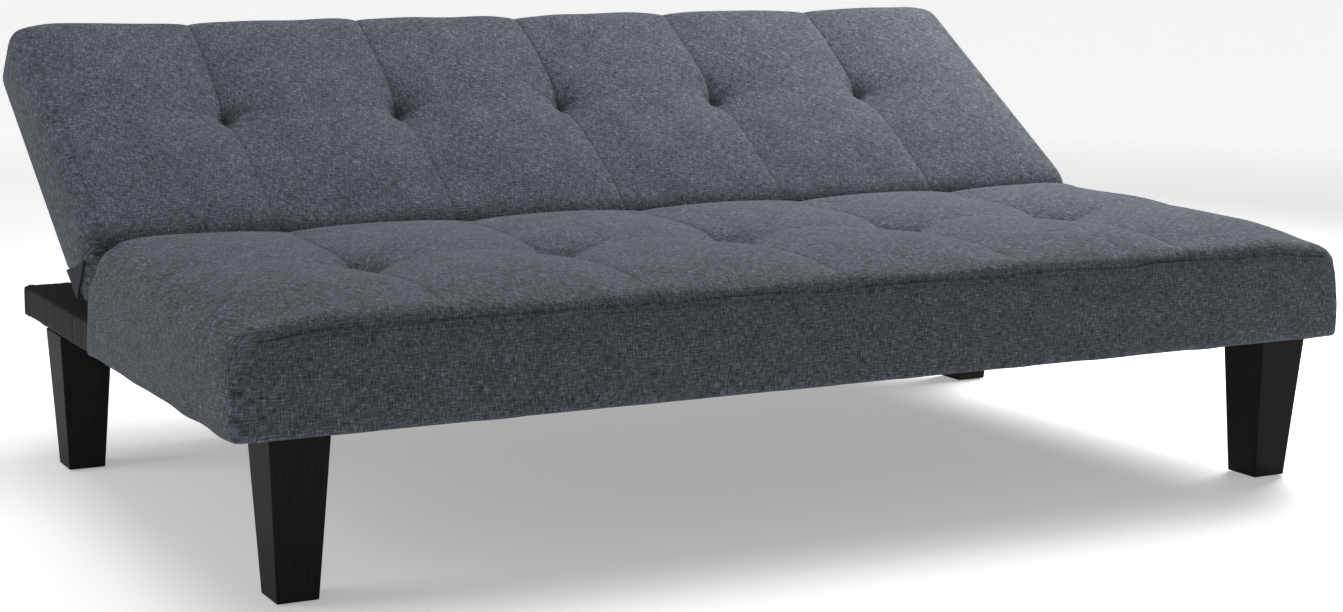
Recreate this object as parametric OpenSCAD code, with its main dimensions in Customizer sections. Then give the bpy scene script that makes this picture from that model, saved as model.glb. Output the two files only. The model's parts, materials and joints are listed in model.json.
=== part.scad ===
// Futon sofa bed: an upholstered seat box on a timber base, and a back pad on two ratchet hinges.
// X runs along the seat, Y from the front to the rear and Z up. The origin is on the floor, under
// the middle of the sofa as it stands with its back half reclined.

/* [Overall] */
// Width of the seat and of the back
sofa_w = 1680; // [1400:10:2040]
// Depth of the seat from its front face to its rear face
seat_d = 595; // [490:5:720]
// Thickness of the seat, from its underside to its top
seat_t = 160; // [140:1:200]
// Length of the back pad, from the hinge edge to the far edge
back_len = 500; // [400:5:600]
// Height of the back above the horizontal as it stands
rest_angle = 34.5; // [20:0.5:50]
// Full depth of the seat and the rear base together
base_d = 955; // [900:5:1150]

/* [Covers and padding] */
// Thickness of the cloth covers
cloth_t = 2; // [1:0.5:3]
// Thickness of the wadding under the covers
wadding_t = 6.7; // [4:0.1:10]
// Space left between two layers of padding
layer_gap = 0.2; // [0.1:0.05:0.5]
// Radius of the seat's front top edge
seat_edge_r = 26; // [16:1:40]
// Radius of the edges along the bottom of the seat
seat_foot_r = 8; // [4:1:9]
// Radius of the seat and back corners in plan
plan_r = 24; // [12:1:25]
// Radius of the back pad's far front edge
back_front_r = 30; // [25:1:45]
// Radius of the back pad's far rear edge
back_rear_r = 20; // [10:1:20]
// Radius of the back pad's near rear edge
back_foot_r = 12; // [6:1:12]
// Radius of the seat's rear corners in plan
rear_r = 6; // [3:1:8]
// Width of the cover that is turned in under the frame
turn_in = 60; // [40:5:90]

/* [Tufts] */
// Number of tufts along the seat and along the back
tuft_n = 5; // [3:1:7]
// Distance of the seat's tufts behind the front face
seat_tuft_y = 275; // [200:5:340]
// Distance of the back's tufts from the hinge edge
back_tuft_u = 272; // [180:5:320]
// Radius of a tuft's cord
tuft_r = 1.5; // [1:0.25:2]
// Radius of the washer that a tuft's cord is tied to
tuft_washer_r = 12; // [8:1:16]

/* [Timber] */
// Thickness of the rails
rail_t = 22; // [18:1:28]
// Height of the seat rails that stand on the base
seat_rail_h = 42; // [34:1:50]
// Height of the base arms
arm_h = 42; // [34:1:50]
// Width of the base arms
arm_w = 45; // [35:1:50]
// Height of the back rails
back_rail_h = 43; // [34:1:48]
// Distance of the timber inside the covers' outer faces
frame_inset = 9; // [9:0.5:11]
// Distance of the back's top rail inside its far edge
top_rail_inset = 15; // [15:1:30]
// Width of the base stretchers and the back slats
stretcher_w = 40; // [30:1:60]
// Distance of the base stretchers from the middle
stretcher_x = 280; // [200:10:380]

/* [Legs] */
// Height of the seat's underside above the floor
leg_h = 204; // [150:1:260]
// Side of a leg at its top
leg_top_w = 78; // [60:1:90]
// Side of a leg at its foot
leg_foot_w = 54; // [36:1:60]
// Distance of the front legs from the middle, short of the seat's ends
leg_front_inset = 90; // [85:1:140]
// Distance of the front legs behind the seat's front face
leg_front_y = 52; // [48:1:80]
// Distance of the rear legs behind the seat's front face
leg_rear_y = 800; // [720:5:860]
// Height of the glide under a leg
glide_h = 2; // [1:0.5:4]
// Radius of the leg bolts
leg_bolt_r = 4; // [3:0.5:4]

/* [Hinges] */
// Depth of the pivot below the seat's top
pivot_drop = 50; // [44:1:56]
// Distance of the pivot in front of the seat's rear face
pivot_inset = 2; // [0:1:6]
// Distance of the back's hinge edge behind the pivot
hinge_gap = 10; // [10:0.5:14]
// Thickness of the hinge plates
plate_t = 3; // [2:0.5:4]
// Play between two plates that turn on each other
plate_gap = 0.5; // [0.3:0.1:1]
// Radius of the pivot bolt
pivot_r = 5; // [4:0.5:6]
// Radial clearance of the pins and bolts in their bores
bore_gap = 0.05; // [0.03:0.01:0.1]
// Radius of the toothed sector on the back arm
sector_r = 30; // [26:1:34]
// Angle that the back can still rise from where it stands
rise_angle = 40; // [20:1:44]

/* [Springs] */
// Number of zigzag springs in the seat
spring_n = 12; // [6:2:14]
// Width of a spring, side to side
spring_w = 46; // [30:1:50]
// Length of one wave of a spring
spring_pitch = 62; // [50:1:90]
// Thickness of the spring wire
wire_t = 3.6; // [3:0.2:4.4]

/* [Hidden] */
$fn = 64;

// Colours of the timber, metal and cloth
timber = "burlywood";
steel = "silver";
weave = "slategray";
black_cloth = "dimgray";

// Heights of the seat's layers above the floor
frame_z = leg_h + cloth_t;
arm_top = frame_z + arm_h;
base_top = arm_top + cloth_t;
rail_top = arm_top + seat_rail_h;
seat_top = leg_h + seat_t;
felt_t = 2;
felt_z = rail_top + layer_gap;
foam_z = felt_z + felt_t + layer_gap;
padding = cloth_t + wadding_t + 2 * layer_gap;

// Half widths, from the outside in
half_w = sofa_w / 2;
frame_x = half_w - frame_inset;
arm_x = frame_x - arm_w;
side_rail_x = frame_x - rail_t;
plate_x = side_rail_x - plate_t;
back_arm_x = plate_x - plate_gap - plate_t;
back_rail_x = back_arm_x + plate_t;
bolt_head_r = 9;
bolt_head_h = 7;
head_play = 0.1;
hinge_room = 3;
hinge_zone_x = back_arm_x - bolt_head_h - hinge_room;
rear_rail_x = hinge_zone_x + 1;

// The legs' bolts and their tee nuts: the rear ones are just inside the arms' inner faces
tee_barrel_r = leg_bolt_r + 1.5;
tee_flange_r = leg_bolt_r + 2.5;
tee_flange_t = 1.6;
tee_recess = 2;
tee_margin = 0.5;
cloth_hole_gap = 0.5;
leg_front_x = half_w - leg_front_inset;
leg_rear_x = arm_x + tee_flange_r + tee_margin;

// Depths, from the front back
front_rail_rear = frame_inset + rail_t;
seat_frame_rear = seat_d - frame_inset;
rear_rail_front = seat_frame_rear - rail_t;
base_frame_rear = base_d - cloth_t;
rear_cut = seat_d - 5;

// The pivot, and the back pad beside it: u runs along the pad and v through its thickness
pivot_y = seat_d - pivot_inset;
pivot_z = seat_top - pivot_drop;
flat_gap = 2;
pad_near = hinge_gap;
pad_far = hinge_gap + back_len;
pad_front = pivot_drop;
pad_rear = base_top + flat_gap - pivot_z;
near_r = pad_front;
back_frame_v = pad_rear + cloth_t + 1;
back_rail_v = back_frame_v + back_rail_h;
web_t = 1.5;
web_w = 50;
cross_web_v = back_rail_v + web_t + layer_gap;
back_foam_v = cross_web_v + web_t + layer_gap;
tuft_u = pad_near + back_tuft_u;

// The back edge of the seat is hollowed to let the pad's near edge turn to the upright pose
upright = rest_angle + rise_angle;
turn_gap = 1;
hollow_r = near_r + turn_gap;
hollow_y = pivot_y + (pad_near + near_r) * cos(upright);
hollow_z = pivot_z + (pad_near + near_r) * sin(upright);

// The whole sofa is centred between its front and its rearmost edge
depth = pivot_y + (pad_far - back_rear_r) * cos(rest_angle)
    - (pad_rear + back_rear_r) * sin(rest_angle) + back_rear_r;

// Hinge details, measured from the pivot
nose_r = hinge_gap - 0.5;
boss_r = 14;
pawl_angle = 235;
pawl_tip_r = 3;
pawl_gap = 0.3;
pawl_w = 10;
pawl_pin_r = 3;
pawl_tip = (sector_r + pawl_gap + pawl_tip_r) * [cos(pawl_angle), sin(pawl_angle)];
pawl_pivot = [-60, -36];
pawl_washer_r = 5;
pawl_play = 0.5;
pawl_washer_t = 2;
screw_r = 2.5;
screw_head_r = 5;
screw_head_h = 2;
screw_len = 16;
plate_len = 135;
plate_lip = 4;
plate_shoulder = 30;
plate_foot = 48;
arm_shoulder = 60;
arm_neck = 45;

// Screws of the seat plate, down from the top of its rail, and of the back arm, up from its edge
seat_screw_drops = [[-72, 32], [-90, 21], [-120, 21]];
seat_screws = [for (s = seat_screw_drops) [s[0], rail_top - s[1] - pivot_z]];
back_screw_rise = 23;
back_screws = [for (u = [60, 90, 120]) [u, back_frame_v + back_screw_rise]];

// Columns of the tufts and the springs
tuft_hole_gap = 0.5;
tuft_pitch = sofa_w / (tuft_n + 1);
tuft_xs = [for (i = [1 : tuft_n]) i * tuft_pitch - half_w];
spring_step = sofa_w / spring_n;
spring_xs = [for (i = [0 : spring_n - 1]) (i + 0.5) * spring_step - half_w];
clip_size = [14, 8, 10];

// ---- Shared shapes ----

module in_frame() translate([0, -depth / 2, 0]) children();

module reclined() {
    in_frame() translate([0, pivot_y, pivot_z]) rotate([rest_angle, 0, 0]) children();
}

module on_side(side) {
    if (side > 0) children();
    else mirror([1, 0, 0]) children();
}

module both_sides() {
    children();
    mirror([1, 0, 0]) children();
}

// A profile drawn in Y and Z, extruded along X from x by the length t
module plate(x, t) translate([x, 0, 0]) rotate([90, 0, 90]) linear_extrude(t) children();

module box(low, high) translate(low) cube(high - low);

// What lies outside the arc of radius r in a corner that opens towards dir
module corner_waste(corner, dir, r) {
    difference() {
        translate([corner.x - (dir.x < 0 ? r : 1), corner.y - (dir.y < 0 ? r : 1)]) square(r + 1);
        translate(corner + dir * r) circle(r = r);
    }
}

// Rectangle with its own radius at the low near, high near, high far and low far corners
module soft_rect(low, high, r) {
    difference() {
        translate(low) square(high - low);
        corner_waste(low, [1, 1], r[0]);
        corner_waste([low.x, high.y], [1, -1], r[1]);
        corner_waste(high, [-1, -1], r[2]);
        corner_waste([high.x, low.y], [-1, 1], r[3]);
    }
}

// Radius of the seat's rear edges, which the back and the base hide
hidden_r = 1;

// The seat's outer shape, moved in by t on every side
module seat_body(t) {
    intersection() {
        plate(-half_w + t, sofa_w - 2 * t) difference() {
            soft_rect([t, leg_h + t], [seat_d - t, seat_top - t],
                [max(seat_foot_r - t, 0.5), seat_edge_r - t, hidden_r, hidden_r]);
            translate([hollow_y, hollow_z]) circle(r = hollow_r + t);
        }
        translate([0, 0, leg_h]) linear_extrude(seat_t)
            soft_rect([-half_w + t, t], [half_w - t, seat_d - t],
                [plan_r - t, max(rear_r - t, 0.5), max(rear_r - t, 0.5), plan_r - t]);
    }
}

// The back pad's outer shape about the pivot, moved in by t on every side
module back_body(t) {
    intersection() {
        plate(-half_w + t, sofa_w - 2 * t)
            soft_rect([pad_near + t, pad_rear + t], [pad_far - t, pad_front - t],
                [max(back_foot_r - t, 0.5), near_r - t, back_front_r - t,
                 max(back_rear_r - t, 0.5)]);
        translate([0, 0, pad_rear]) linear_extrude(pad_front - pad_rear)
            soft_rect([-half_w + t, pad_near + t], [half_w - t, pad_far - t],
                (plan_r - t) * [1, 1, 1, 1]);
    }
}

// Space that the hinge needs in the seat and in the pad
nut_h = 8;
space_over_nut = 2;
space_below = 10;
space_above_pivot = 18;
seat_space_end = 3;
module seat_hinge_space() {
    both_sides() box([hinge_zone_x, pivot_y - plate_len - seat_space_end, rail_top - space_below],
        [side_rail_x + nut_h + space_over_nut, seat_d + 1, pivot_z + space_above_pivot]);
}

back_space_len = 130;
back_space_top = 26;
module back_hinge_space() {
    both_sides() box([hinge_zone_x, pad_near - 1, back_rail_v - space_below],
        [side_rail_x + nut_h + space_over_nut, pad_near + back_space_len, back_space_top]);
}

// The gusset is a triangle under the end panel's hem, which slopes from its high to its far point.
// It lies in a recess in the pad's end, this far under the cover's face.
gusset_high = [4, 20];
gusset_lead = 4;
gusset_far_u = 72;
gusset_over = 5;
gusset_depth = 3;
module gusset_outline(grow) {
    polygon([
        [pad_near - gusset_over + grow, pad_rear - gusset_over],
        [pad_near - gusset_over, gusset_high.y + gusset_lead + grow],
        [pad_near + gusset_high.x, gusset_high.y + grow],
        [pad_near + gusset_far_u + grow, pad_rear + 1],
        [pad_near + gusset_far_u + grow, pad_rear - gusset_over]
    ]);
}

module gusset_recess() both_sides()
    plate(half_w - gusset_depth - cloth_t - layer_gap, padding) gusset_outline(0);

module tuft_holes(y, low, high, r) {
    for (x = tuft_xs) translate([x, y, low]) cylinder(r = r, h = high - low);
}

module leg_bolt_holes(low, high, r) {
    both_sides() {
        translate([leg_front_x, leg_front_y, low]) cylinder(r = r, h = high - low);
        translate([leg_rear_x, leg_rear_y, low]) cylinder(r = r, h = high - low);
    }
}

module tee_nut_seats() {
    leg_bolt_holes(frame_z - 1, arm_top + 1, tee_barrel_r);
    leg_bolt_holes(arm_top - tee_recess, arm_top + 1, tee_flange_r + 0.1);
}

frame_bolt_r = 3;
frame_head_r = 6;
frame_head_h = 4;
frame_bolt_ys = [front_rail_rear + 90, front_rail_rear + 320];
frame_bolt_x = side_rail_x + rail_t / 2;
frame_bolt_recess = 5;
frame_bolt_foot = 8;
module frame_bolt_holes(gap) {
    for (y = frame_bolt_ys) translate([frame_bolt_x, y, 0]) {
        translate([0, 0, frame_z + frame_bolt_foot])
            cylinder(r = frame_bolt_r + gap, h = rail_top - frame_z - frame_bolt_foot - 1);
        translate([0, 0, rail_top - frame_bolt_recess])
            cylinder(r = frame_head_r + gap, h = gap > 0 ? frame_bolt_recess + 1 : frame_head_h);
    }
}

// ---- Timber of the seat ----

module seat_front_rail() color(timber) in_frame() {
    box([-frame_x, frame_inset, frame_z], [frame_x, front_rail_rear, rail_top]);
}

module seat_rear_rail() color(timber) in_frame() {
    box([-rear_rail_x, rear_rail_front, arm_top], [rear_rail_x, seat_frame_rear, rail_top]);
}

module seat_side_rail() in_frame() difference() {
    box([side_rail_x, front_rail_rear, arm_top], [frame_x, seat_frame_rear, rail_top]);
    frame_bolt_holes(bore_gap);
    screw_bores(seat_screws, side_rail_x);
}

module seat_side_rail_left() color(timber) on_side(-1) seat_side_rail();
module seat_side_rail_right() color(timber) on_side(1) seat_side_rail();

block_leg = 60;
block_drop = clip_size.z + 2;
module seat_corner_blocks() color(timber) in_frame() both_sides() {
    translate([side_rail_x, front_rail_rear, arm_top])
        linear_extrude(seat_rail_h - block_drop) polygon([[0, 0], [-block_leg, 0], [0, block_leg]]);
}

// ---- Springs and padding of the seat ----

function unit(v) = v / norm(v);
// Square to the line at point i, and square to the rail at both of its ends
function normal_at(p, i) = i == 0 || i == len(p) - 1 ? [-1, 0]
    : let (d = unit(p[i + 1] - p[i - 1])) [-d.y, d.x];

spring_y0 = front_rail_rear + clip_size.y;
spring_y1 = rear_rail_front - clip_size.y;
spring_waves = floor((spring_y1 - spring_y0) / spring_pitch);
points_per_wave = 8;
spring_line = [for (i = [0 : spring_waves * points_per_wave])
    [(spring_w - wire_t) / 2 * sin(i * 360 / points_per_wave),
     spring_y0 + (spring_y1 - spring_y0) * i / (spring_waves * points_per_wave)]];
spring_edge = [for (i = [0 : len(spring_line) - 1]) wire_t / 2 * normal_at(spring_line, i)];
spring_outline = concat(
    [for (i = [0 : len(spring_line) - 1]) spring_line[i] + spring_edge[i]],
    [for (i = [len(spring_line) - 1 : -1 : 0]) spring_line[i] - spring_edge[i]]);
spring_z = rail_top - clip_size.z / 2 - wire_t / 2;

module seat_springs() color(steel) in_frame() {
    for (x = spring_xs) translate([x, 0, spring_z]) linear_extrude(wire_t) polygon(spring_outline);
}

module seat_spring_clips() color(steel) in_frame() {
    for (x = spring_xs, y = [front_rail_rear, spring_y1])
        translate([x - clip_size.x / 2, y, rail_top - clip_size.z]) cube(clip_size);
}

module seat_felt() color("lightgray") in_frame() difference() {
    box([-rear_rail_x, frame_inset, felt_z], [rear_rail_x, seat_frame_rear, felt_z + felt_t]);
    tuft_holes(seat_tuft_y, felt_z - 1, foam_z, tuft_r + tuft_hole_gap);
}

module seat_foam() color("khaki") in_frame() difference() {
    intersection() {
        seat_body(padding);
        box([-half_w, 0, foam_z], [half_w, seat_d, seat_top]);
    }
    seat_hinge_space();
    tuft_holes(seat_tuft_y, foam_z - 1, seat_top, tuft_r + tuft_hole_gap);
}

module seat_wadding() color("white") in_frame() difference() {
    intersection() {
        seat_body(cloth_t + layer_gap);
        box([-half_w, 0, foam_z], [half_w, seat_d, seat_top]);
    }
    seat_body(padding - layer_gap);
    seat_hinge_space();
    tuft_holes(seat_tuft_y, foam_z, seat_top, tuft_r + tuft_hole_gap);
}

opening_x = half_w - turn_in * 2;
opening_y = turn_in * 1.5;
module seat_cover() color(weave) in_frame() difference() {
    seat_body(0);
    seat_body(cloth_t);
    seat_hinge_space();
    box([-half_w - 1, rear_cut, leg_h - 1], [half_w + 1, seat_d + 1, base_top + layer_gap]);
    box([-opening_x, opening_y, leg_h - 1], [opening_x, seat_d + 1, frame_z + 1]);
    leg_bolt_holes(leg_h - 1, frame_z + 1, leg_bolt_r + cloth_hole_gap);
}

module seat_dust_cover() color(black_cloth) in_frame() {
    box([-opening_x + layer_gap, opening_y + layer_gap, leg_h],
        [opening_x - layer_gap, rear_cut - layer_gap, frame_z]);
}

washer_t = 2;
washer_drop = 6;
seat_washer_z = spring_z - washer_drop;
module seat_tuft_ties() color("gray") in_frame() {
    tuft_holes(seat_tuft_y, seat_washer_z + washer_t, seat_top - cloth_t - layer_gap, tuft_r);
}

module seat_tuft_washers() color("black") in_frame() {
    tuft_holes(seat_tuft_y, seat_washer_z, seat_washer_z + washer_t, tuft_washer_r);
}

// ---- Base ----

module base_arm() in_frame() difference() {
    box([arm_x, front_rail_rear, frame_z], [frame_x, base_frame_rear, arm_top]);
    frame_bolt_holes(bore_gap);
    tee_nut_seats();
}

module base_arm_left() color(timber) on_side(-1) base_arm();
module base_arm_right() color(timber) on_side(1) base_arm();

module base_cross_rail() color(timber) in_frame() {
    box([-arm_x, rear_rail_front, frame_z], [arm_x, seat_frame_rear, arm_top]);
}

module base_rear_rail() color(timber) in_frame() {
    box([-arm_x, base_frame_rear - rail_t, frame_z], [arm_x, base_frame_rear, arm_top]);
}

module base_stretchers() color(timber) in_frame() both_sides() {
    box([stretcher_x - stretcher_w / 2, front_rail_rear, frame_z],
        [stretcher_x + stretcher_w / 2, rear_rail_front, arm_top]);
    box([stretcher_x - stretcher_w / 2, seat_frame_rear, frame_z],
        [stretcher_x + stretcher_w / 2, base_frame_rear - rail_t, arm_top]);
}

leg_block_over = 5;
module base_leg_blocks() color(timber) in_frame() difference() {
    both_sides() {
        box([leg_front_x - leg_top_w / 2 - leg_block_over, front_rail_rear, frame_z],
            [arm_x, leg_front_y + leg_top_w / 2 + leg_block_over, arm_top]);
        box([leg_rear_x - leg_top_w / 2, leg_rear_y - leg_top_w / 2, frame_z],
            [arm_x, leg_rear_y + leg_top_w / 2, arm_top]);
    }
    tee_nut_seats();
}

module base_cover() color(black_cloth) in_frame() difference() {
    box([-frame_x - cloth_t, rear_cut + layer_gap, leg_h], [frame_x + cloth_t, base_d, base_top]);
    box([-frame_x, rear_cut - 1, frame_z], [frame_x, base_frame_rear, arm_top]);
    leg_bolt_holes(leg_h - 1, frame_z + 1, leg_bolt_r + cloth_hole_gap);
}

module frame_bolts() color(steel) in_frame() both_sides() frame_bolt_holes(0);

// ---- Legs ----

module leg_profile() {
    polygon([[-leg_foot_w / 2, glide_h], [leg_foot_w / 2, glide_h],
        [leg_top_w / 2, leg_h], [-leg_top_w / 2, leg_h]]);
}

bolt_in_leg = 45;
module leg(x, y) in_frame() translate([x, y, 0]) difference() {
    intersection() {
        translate([-leg_top_w / 2, 0, 0]) plate(0, leg_top_w) leg_profile();
        translate([0, leg_top_w / 2, 0]) rotate([90, 0, 0]) linear_extrude(leg_top_w) leg_profile();
    }
    translate([0, 0, leg_h - bolt_in_leg]) cylinder(r = leg_bolt_r + bore_gap, h = bolt_in_leg + 1);
    translate([0, 0, glide_h - 1]) cylinder(r = glide_stem_r + bore_gap, h = glide_stem_h + 1);
}

module leg_front_left() color("black") leg(-leg_front_x, leg_front_y);
module leg_front_right() color("black") leg(leg_front_x, leg_front_y);
module leg_rear_left() color("black") leg(-leg_rear_x, leg_rear_y);
module leg_rear_right() color("black") leg(leg_rear_x, leg_rear_y);

bolt_end_gap = 0.5;
bolt_top_drop = 4;
module leg_hanger_bolts() color(steel) in_frame() {
    leg_bolt_holes(leg_h - bolt_in_leg + bolt_end_gap, arm_top - bolt_top_drop, leg_bolt_r);
}

tee_barrel_h = 12;
module leg_tee_nuts() color(steel) in_frame() difference() {
    union() {
        leg_bolt_holes(arm_top - tee_recess - tee_barrel_h, arm_top - tee_recess,
            tee_barrel_r - bore_gap);
        leg_bolt_holes(arm_top - tee_recess, arm_top - tee_recess + tee_flange_t, tee_flange_r);
    }
    leg_bolt_holes(frame_z, arm_top + 1, leg_bolt_r + bore_gap);
}

glide_r = 12;
glide_stem_r = 3;
glide_stem_h = 12;
module leg_glides() color("dimgray") in_frame() {
    for (p = [[leg_front_x, leg_front_y], [leg_rear_x, leg_rear_y]], side = [-1, 1])
        translate([side * p.x, p.y, 0]) {
            cylinder(r = glide_r, h = glide_h);
            translate([0, 0, glide_h - 0.5]) cylinder(r = glide_stem_r, h = glide_stem_h);
        }
}

// ---- Hinges ----

module at_pivot() translate([0, pivot_y, pivot_z]) children();

module screw_bores(places, x) {
    at_pivot() for (p = places) translate([x - 1, p.x, p.y]) rotate([0, 90, 0])
        cylinder(r = screw_r + bore_gap, h = screw_len + 2);
}

module screws(places, x) {
    for (p = places) translate([x, p.x, p.y]) rotate([0, 90, 0]) {
        translate([0, 0, -screw_head_h]) cylinder(r = screw_head_r, h = screw_head_h);
        cylinder(r = screw_r, h = screw_len);
    }
}

module hinge_seat_plate() in_frame() at_pivot() difference() {
    plate(plate_x, plate_t) difference() {
        union() {
            circle(r = nose_r);
            polygon([[0, -nose_r], [0, nose_r], [-plate_shoulder, nose_r],
                [-plate_len, rail_top - pivot_z], [-plate_len, arm_top - pivot_z + plate_lip],
                [-plate_foot, arm_top - pivot_z + plate_lip]]);
        }
        circle(r = pivot_r + bore_gap);
        for (p = seat_screws) translate(p) circle(r = screw_r + bore_gap);
        translate(pawl_pivot) circle(r = pawl_pin_r + bore_gap);
    }
}

module hinge_seat_plate_left() color(steel) on_side(-1) hinge_seat_plate();
module hinge_seat_plate_right() color(steel) on_side(1) hinge_seat_plate();

// The back arm carries the toothed sector that the pawl drops into at each of the three places
sector_past = 8;
sector_low = pawl_angle - upright - sector_past;
sector_high = pawl_angle + sector_past;
sector_steps = 6;
notch_gap = 0.5;
notch_r = pawl_tip_r + notch_gap;
module back_arm_outline() {
    difference() {
        union() {
            circle(r = boss_r);
            intersection() {
                circle(r = sector_r);
                polygon(concat([[0, 0]], [for (i = [0 : sector_steps])
                    let (a = sector_low + (sector_high - sector_low) * i / sector_steps)
                    2 * sector_r * [cos(a), sin(a)]]));
            }
            polygon([[0, -boss_r], [plate_shoulder, -boss_r], [arm_neck, back_frame_v + plate_lip],
                [plate_len, back_frame_v + plate_lip], [plate_len, back_rail_v],
                [arm_shoulder, back_rail_v], [plate_shoulder, boss_r], [0, boss_r]]);
        }
        circle(r = pivot_r + bore_gap);
        for (a = [0, rest_angle, upright])
            translate((sector_r + 1) * [cos(pawl_angle - a), sin(pawl_angle - a)])
                circle(r = notch_r);
        for (p = back_screws) translate(p) circle(r = screw_r + bore_gap);
    }
}

module hinge_back_arm() reclined() plate(back_arm_x, plate_t) back_arm_outline();
module hinge_back_arm_left() color(steel) on_side(-1) hinge_back_arm();
module hinge_back_arm_right() color(steel) on_side(1) hinge_back_arm();

bolt_past_nut = 2;
module hinge_pivot_bolts() color(steel) in_frame() at_pivot() both_sides() rotate([0, 90, 0]) {
    translate([0, 0, back_arm_x - head_play - bolt_head_h])
        cylinder(r = bolt_head_r, h = bolt_head_h, $fn = 6);
    translate([0, 0, back_arm_x - 1])
        cylinder(r = pivot_r, h = 2 * plate_t + plate_gap + nut_h + bolt_past_nut);
}

module hinge_pivot_nuts() color(steel) in_frame() at_pivot() both_sides() rotate([0, 90, 0]) {
    translate([0, 0, side_rail_x]) difference() {
        cylinder(r = nose_r, h = nut_h, $fn = 6);
        translate([0, 0, -1]) cylinder(r = pivot_r + bore_gap, h = nut_h + 2);
    }
}

module hinge_seat_screws() color(steel) in_frame() at_pivot() both_sides() {
    screws(seat_screws, plate_x);
}

module hinge_back_screws() color(steel) reclined() both_sides() screws(back_screws, back_arm_x);

module hinge_pawl() in_frame() at_pivot() plate(back_arm_x, plate_t) difference() {
    union() {
        translate(pawl_tip) circle(r = pawl_tip_r);
        translate(pawl_pivot) circle(r = pawl_w / 2);
        polygon([pawl_tip + [0, -pawl_tip_r], pawl_tip + [-0.5, pawl_tip_r - 0.1],
            pawl_pivot + [0, pawl_w / 2], pawl_pivot + [0, -pawl_w / 2]]);
    }
    translate(pawl_pivot) circle(r = pawl_pin_r + bore_gap);
}

module hinge_pawl_left() color(steel) on_side(-1) hinge_pawl();
module hinge_pawl_right() color(steel) on_side(1) hinge_pawl();

module hinge_pawl_pins() color(steel) in_frame() at_pivot() both_sides()
    translate([0, pawl_pivot.x, pawl_pivot.y]) rotate([0, 90, 0]) {
        translate([0, 0, back_arm_x - pawl_play])
            cylinder(r = pawl_pin_r, h = 2 * plate_t + plate_gap + pawl_play);
        translate([0, 0, back_arm_x - pawl_play - pawl_washer_t])
            cylinder(r = pawl_washer_r, h = pawl_washer_t);
    }

// ---- Back pad ----

module back_rail(low, high) reclined() {
    box([low.x, low.y, back_frame_v], [high.x, high.y, back_rail_v]);
}

back_bottom_u = pad_near + frame_inset;
back_top_u = pad_far - top_rail_inset - rail_t;
back_rail_outer = back_rail_x + rail_t;
module back_top_rail() color(timber) {
    back_rail([-back_rail_outer, back_top_u], [back_rail_outer, back_top_u + rail_t]);
}

module back_bottom_rail() color(timber) {
    back_rail([-hinge_zone_x, back_bottom_u], [hinge_zone_x, back_bottom_u + rail_t]);
}

module back_side_rail() reclined() difference() {
    box([back_rail_x, back_bottom_u, back_frame_v], [back_rail_outer, back_top_u, back_rail_v]);
    for (p = back_screws) translate([back_rail_x - 1, p.x, p.y]) rotate([0, 90, 0])
        cylinder(r = screw_r + bore_gap, h = screw_len + 2);
}

module back_side_rail_left() color(timber) on_side(-1) back_side_rail();
module back_side_rail_right() color(timber) on_side(1) back_side_rail();

slat_h = 22;
slat_x = tuft_pitch * 1.5;
module back_slats() color(timber) reclined() both_sides() {
    box([slat_x - stretcher_w / 2, back_bottom_u + rail_t, back_frame_v],
        [slat_x + stretcher_w / 2, back_top_u, back_frame_v + slat_h]);
}

module back_webbing_long() color("saddlebrown") reclined() {
    for (i = [0 : tuft_n]) translate([(i + 0.5) * tuft_pitch - half_w, 0, 0])
        box([-web_w / 2, back_bottom_u, back_rail_v],
            [web_w / 2, back_top_u + rail_t, back_rail_v + web_t]);
}

module back_webbing_cross() color("peru") reclined() difference() {
    box([-back_rail_outer, tuft_u - web_w / 2, cross_web_v],
        [back_rail_outer, tuft_u + web_w / 2, cross_web_v + web_t]);
    tuft_holes(tuft_u, cross_web_v - 1, back_foam_v, tuft_r + tuft_hole_gap);
}

module back_foam() color("khaki") reclined() difference() {
    intersection() {
        back_body(padding);
        box([-half_w, 0, back_foam_v], [half_w, pad_far, pad_front]);
    }
    back_hinge_space();
    tuft_holes(tuft_u, back_foam_v - 1, pad_front, tuft_r + tuft_hole_gap);
}

module back_wadding() color("white") reclined() difference() {
    back_body(cloth_t + layer_gap);
    back_body(padding - layer_gap);
    box([-half_w, 0, pad_rear - 1], [half_w, pad_far + 1, back_foam_v]);
    back_hinge_space();
    gusset_recess();
    tuft_holes(tuft_u, back_foam_v, pad_front, tuft_r + tuft_hole_gap);
}

module back_cover() color(weave) reclined() difference() {
    back_body(0);
    back_body(cloth_t);
    back_hinge_space();
    gusset_recess();
    box([-half_w + turn_in, pad_near + turn_in, pad_rear - 1],
        [half_w - turn_in, pad_far - turn_in, pad_rear + cloth_t + 0.5]);
}

module back_rear_cloth() color(black_cloth) reclined() {
    box([-half_w + turn_in + layer_gap, pad_near + turn_in + layer_gap, pad_rear],
        [half_w - turn_in - layer_gap, pad_far - turn_in - layer_gap, pad_rear + cloth_t]);
}

back_washer_v = back_rail_v - washer_t;
module back_tuft_ties() color("gray") reclined() {
    tuft_holes(tuft_u, back_washer_v + washer_t, pad_front - cloth_t - layer_gap, tuft_r);
}

module back_tuft_washers() color("black") reclined() {
    tuft_holes(tuft_u, back_washer_v, back_washer_v + washer_t, tuft_washer_r);
}

module hinge_gusset() reclined() intersection() {
    plate(half_w - gusset_depth - cloth_t, cloth_t) gusset_outline(-layer_gap);
    back_body(0);
}

module hinge_gusset_left() color("gray") on_side(-1) hinge_gusset();
module hinge_gusset_right() color("gray") on_side(1) hinge_gusset();

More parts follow.
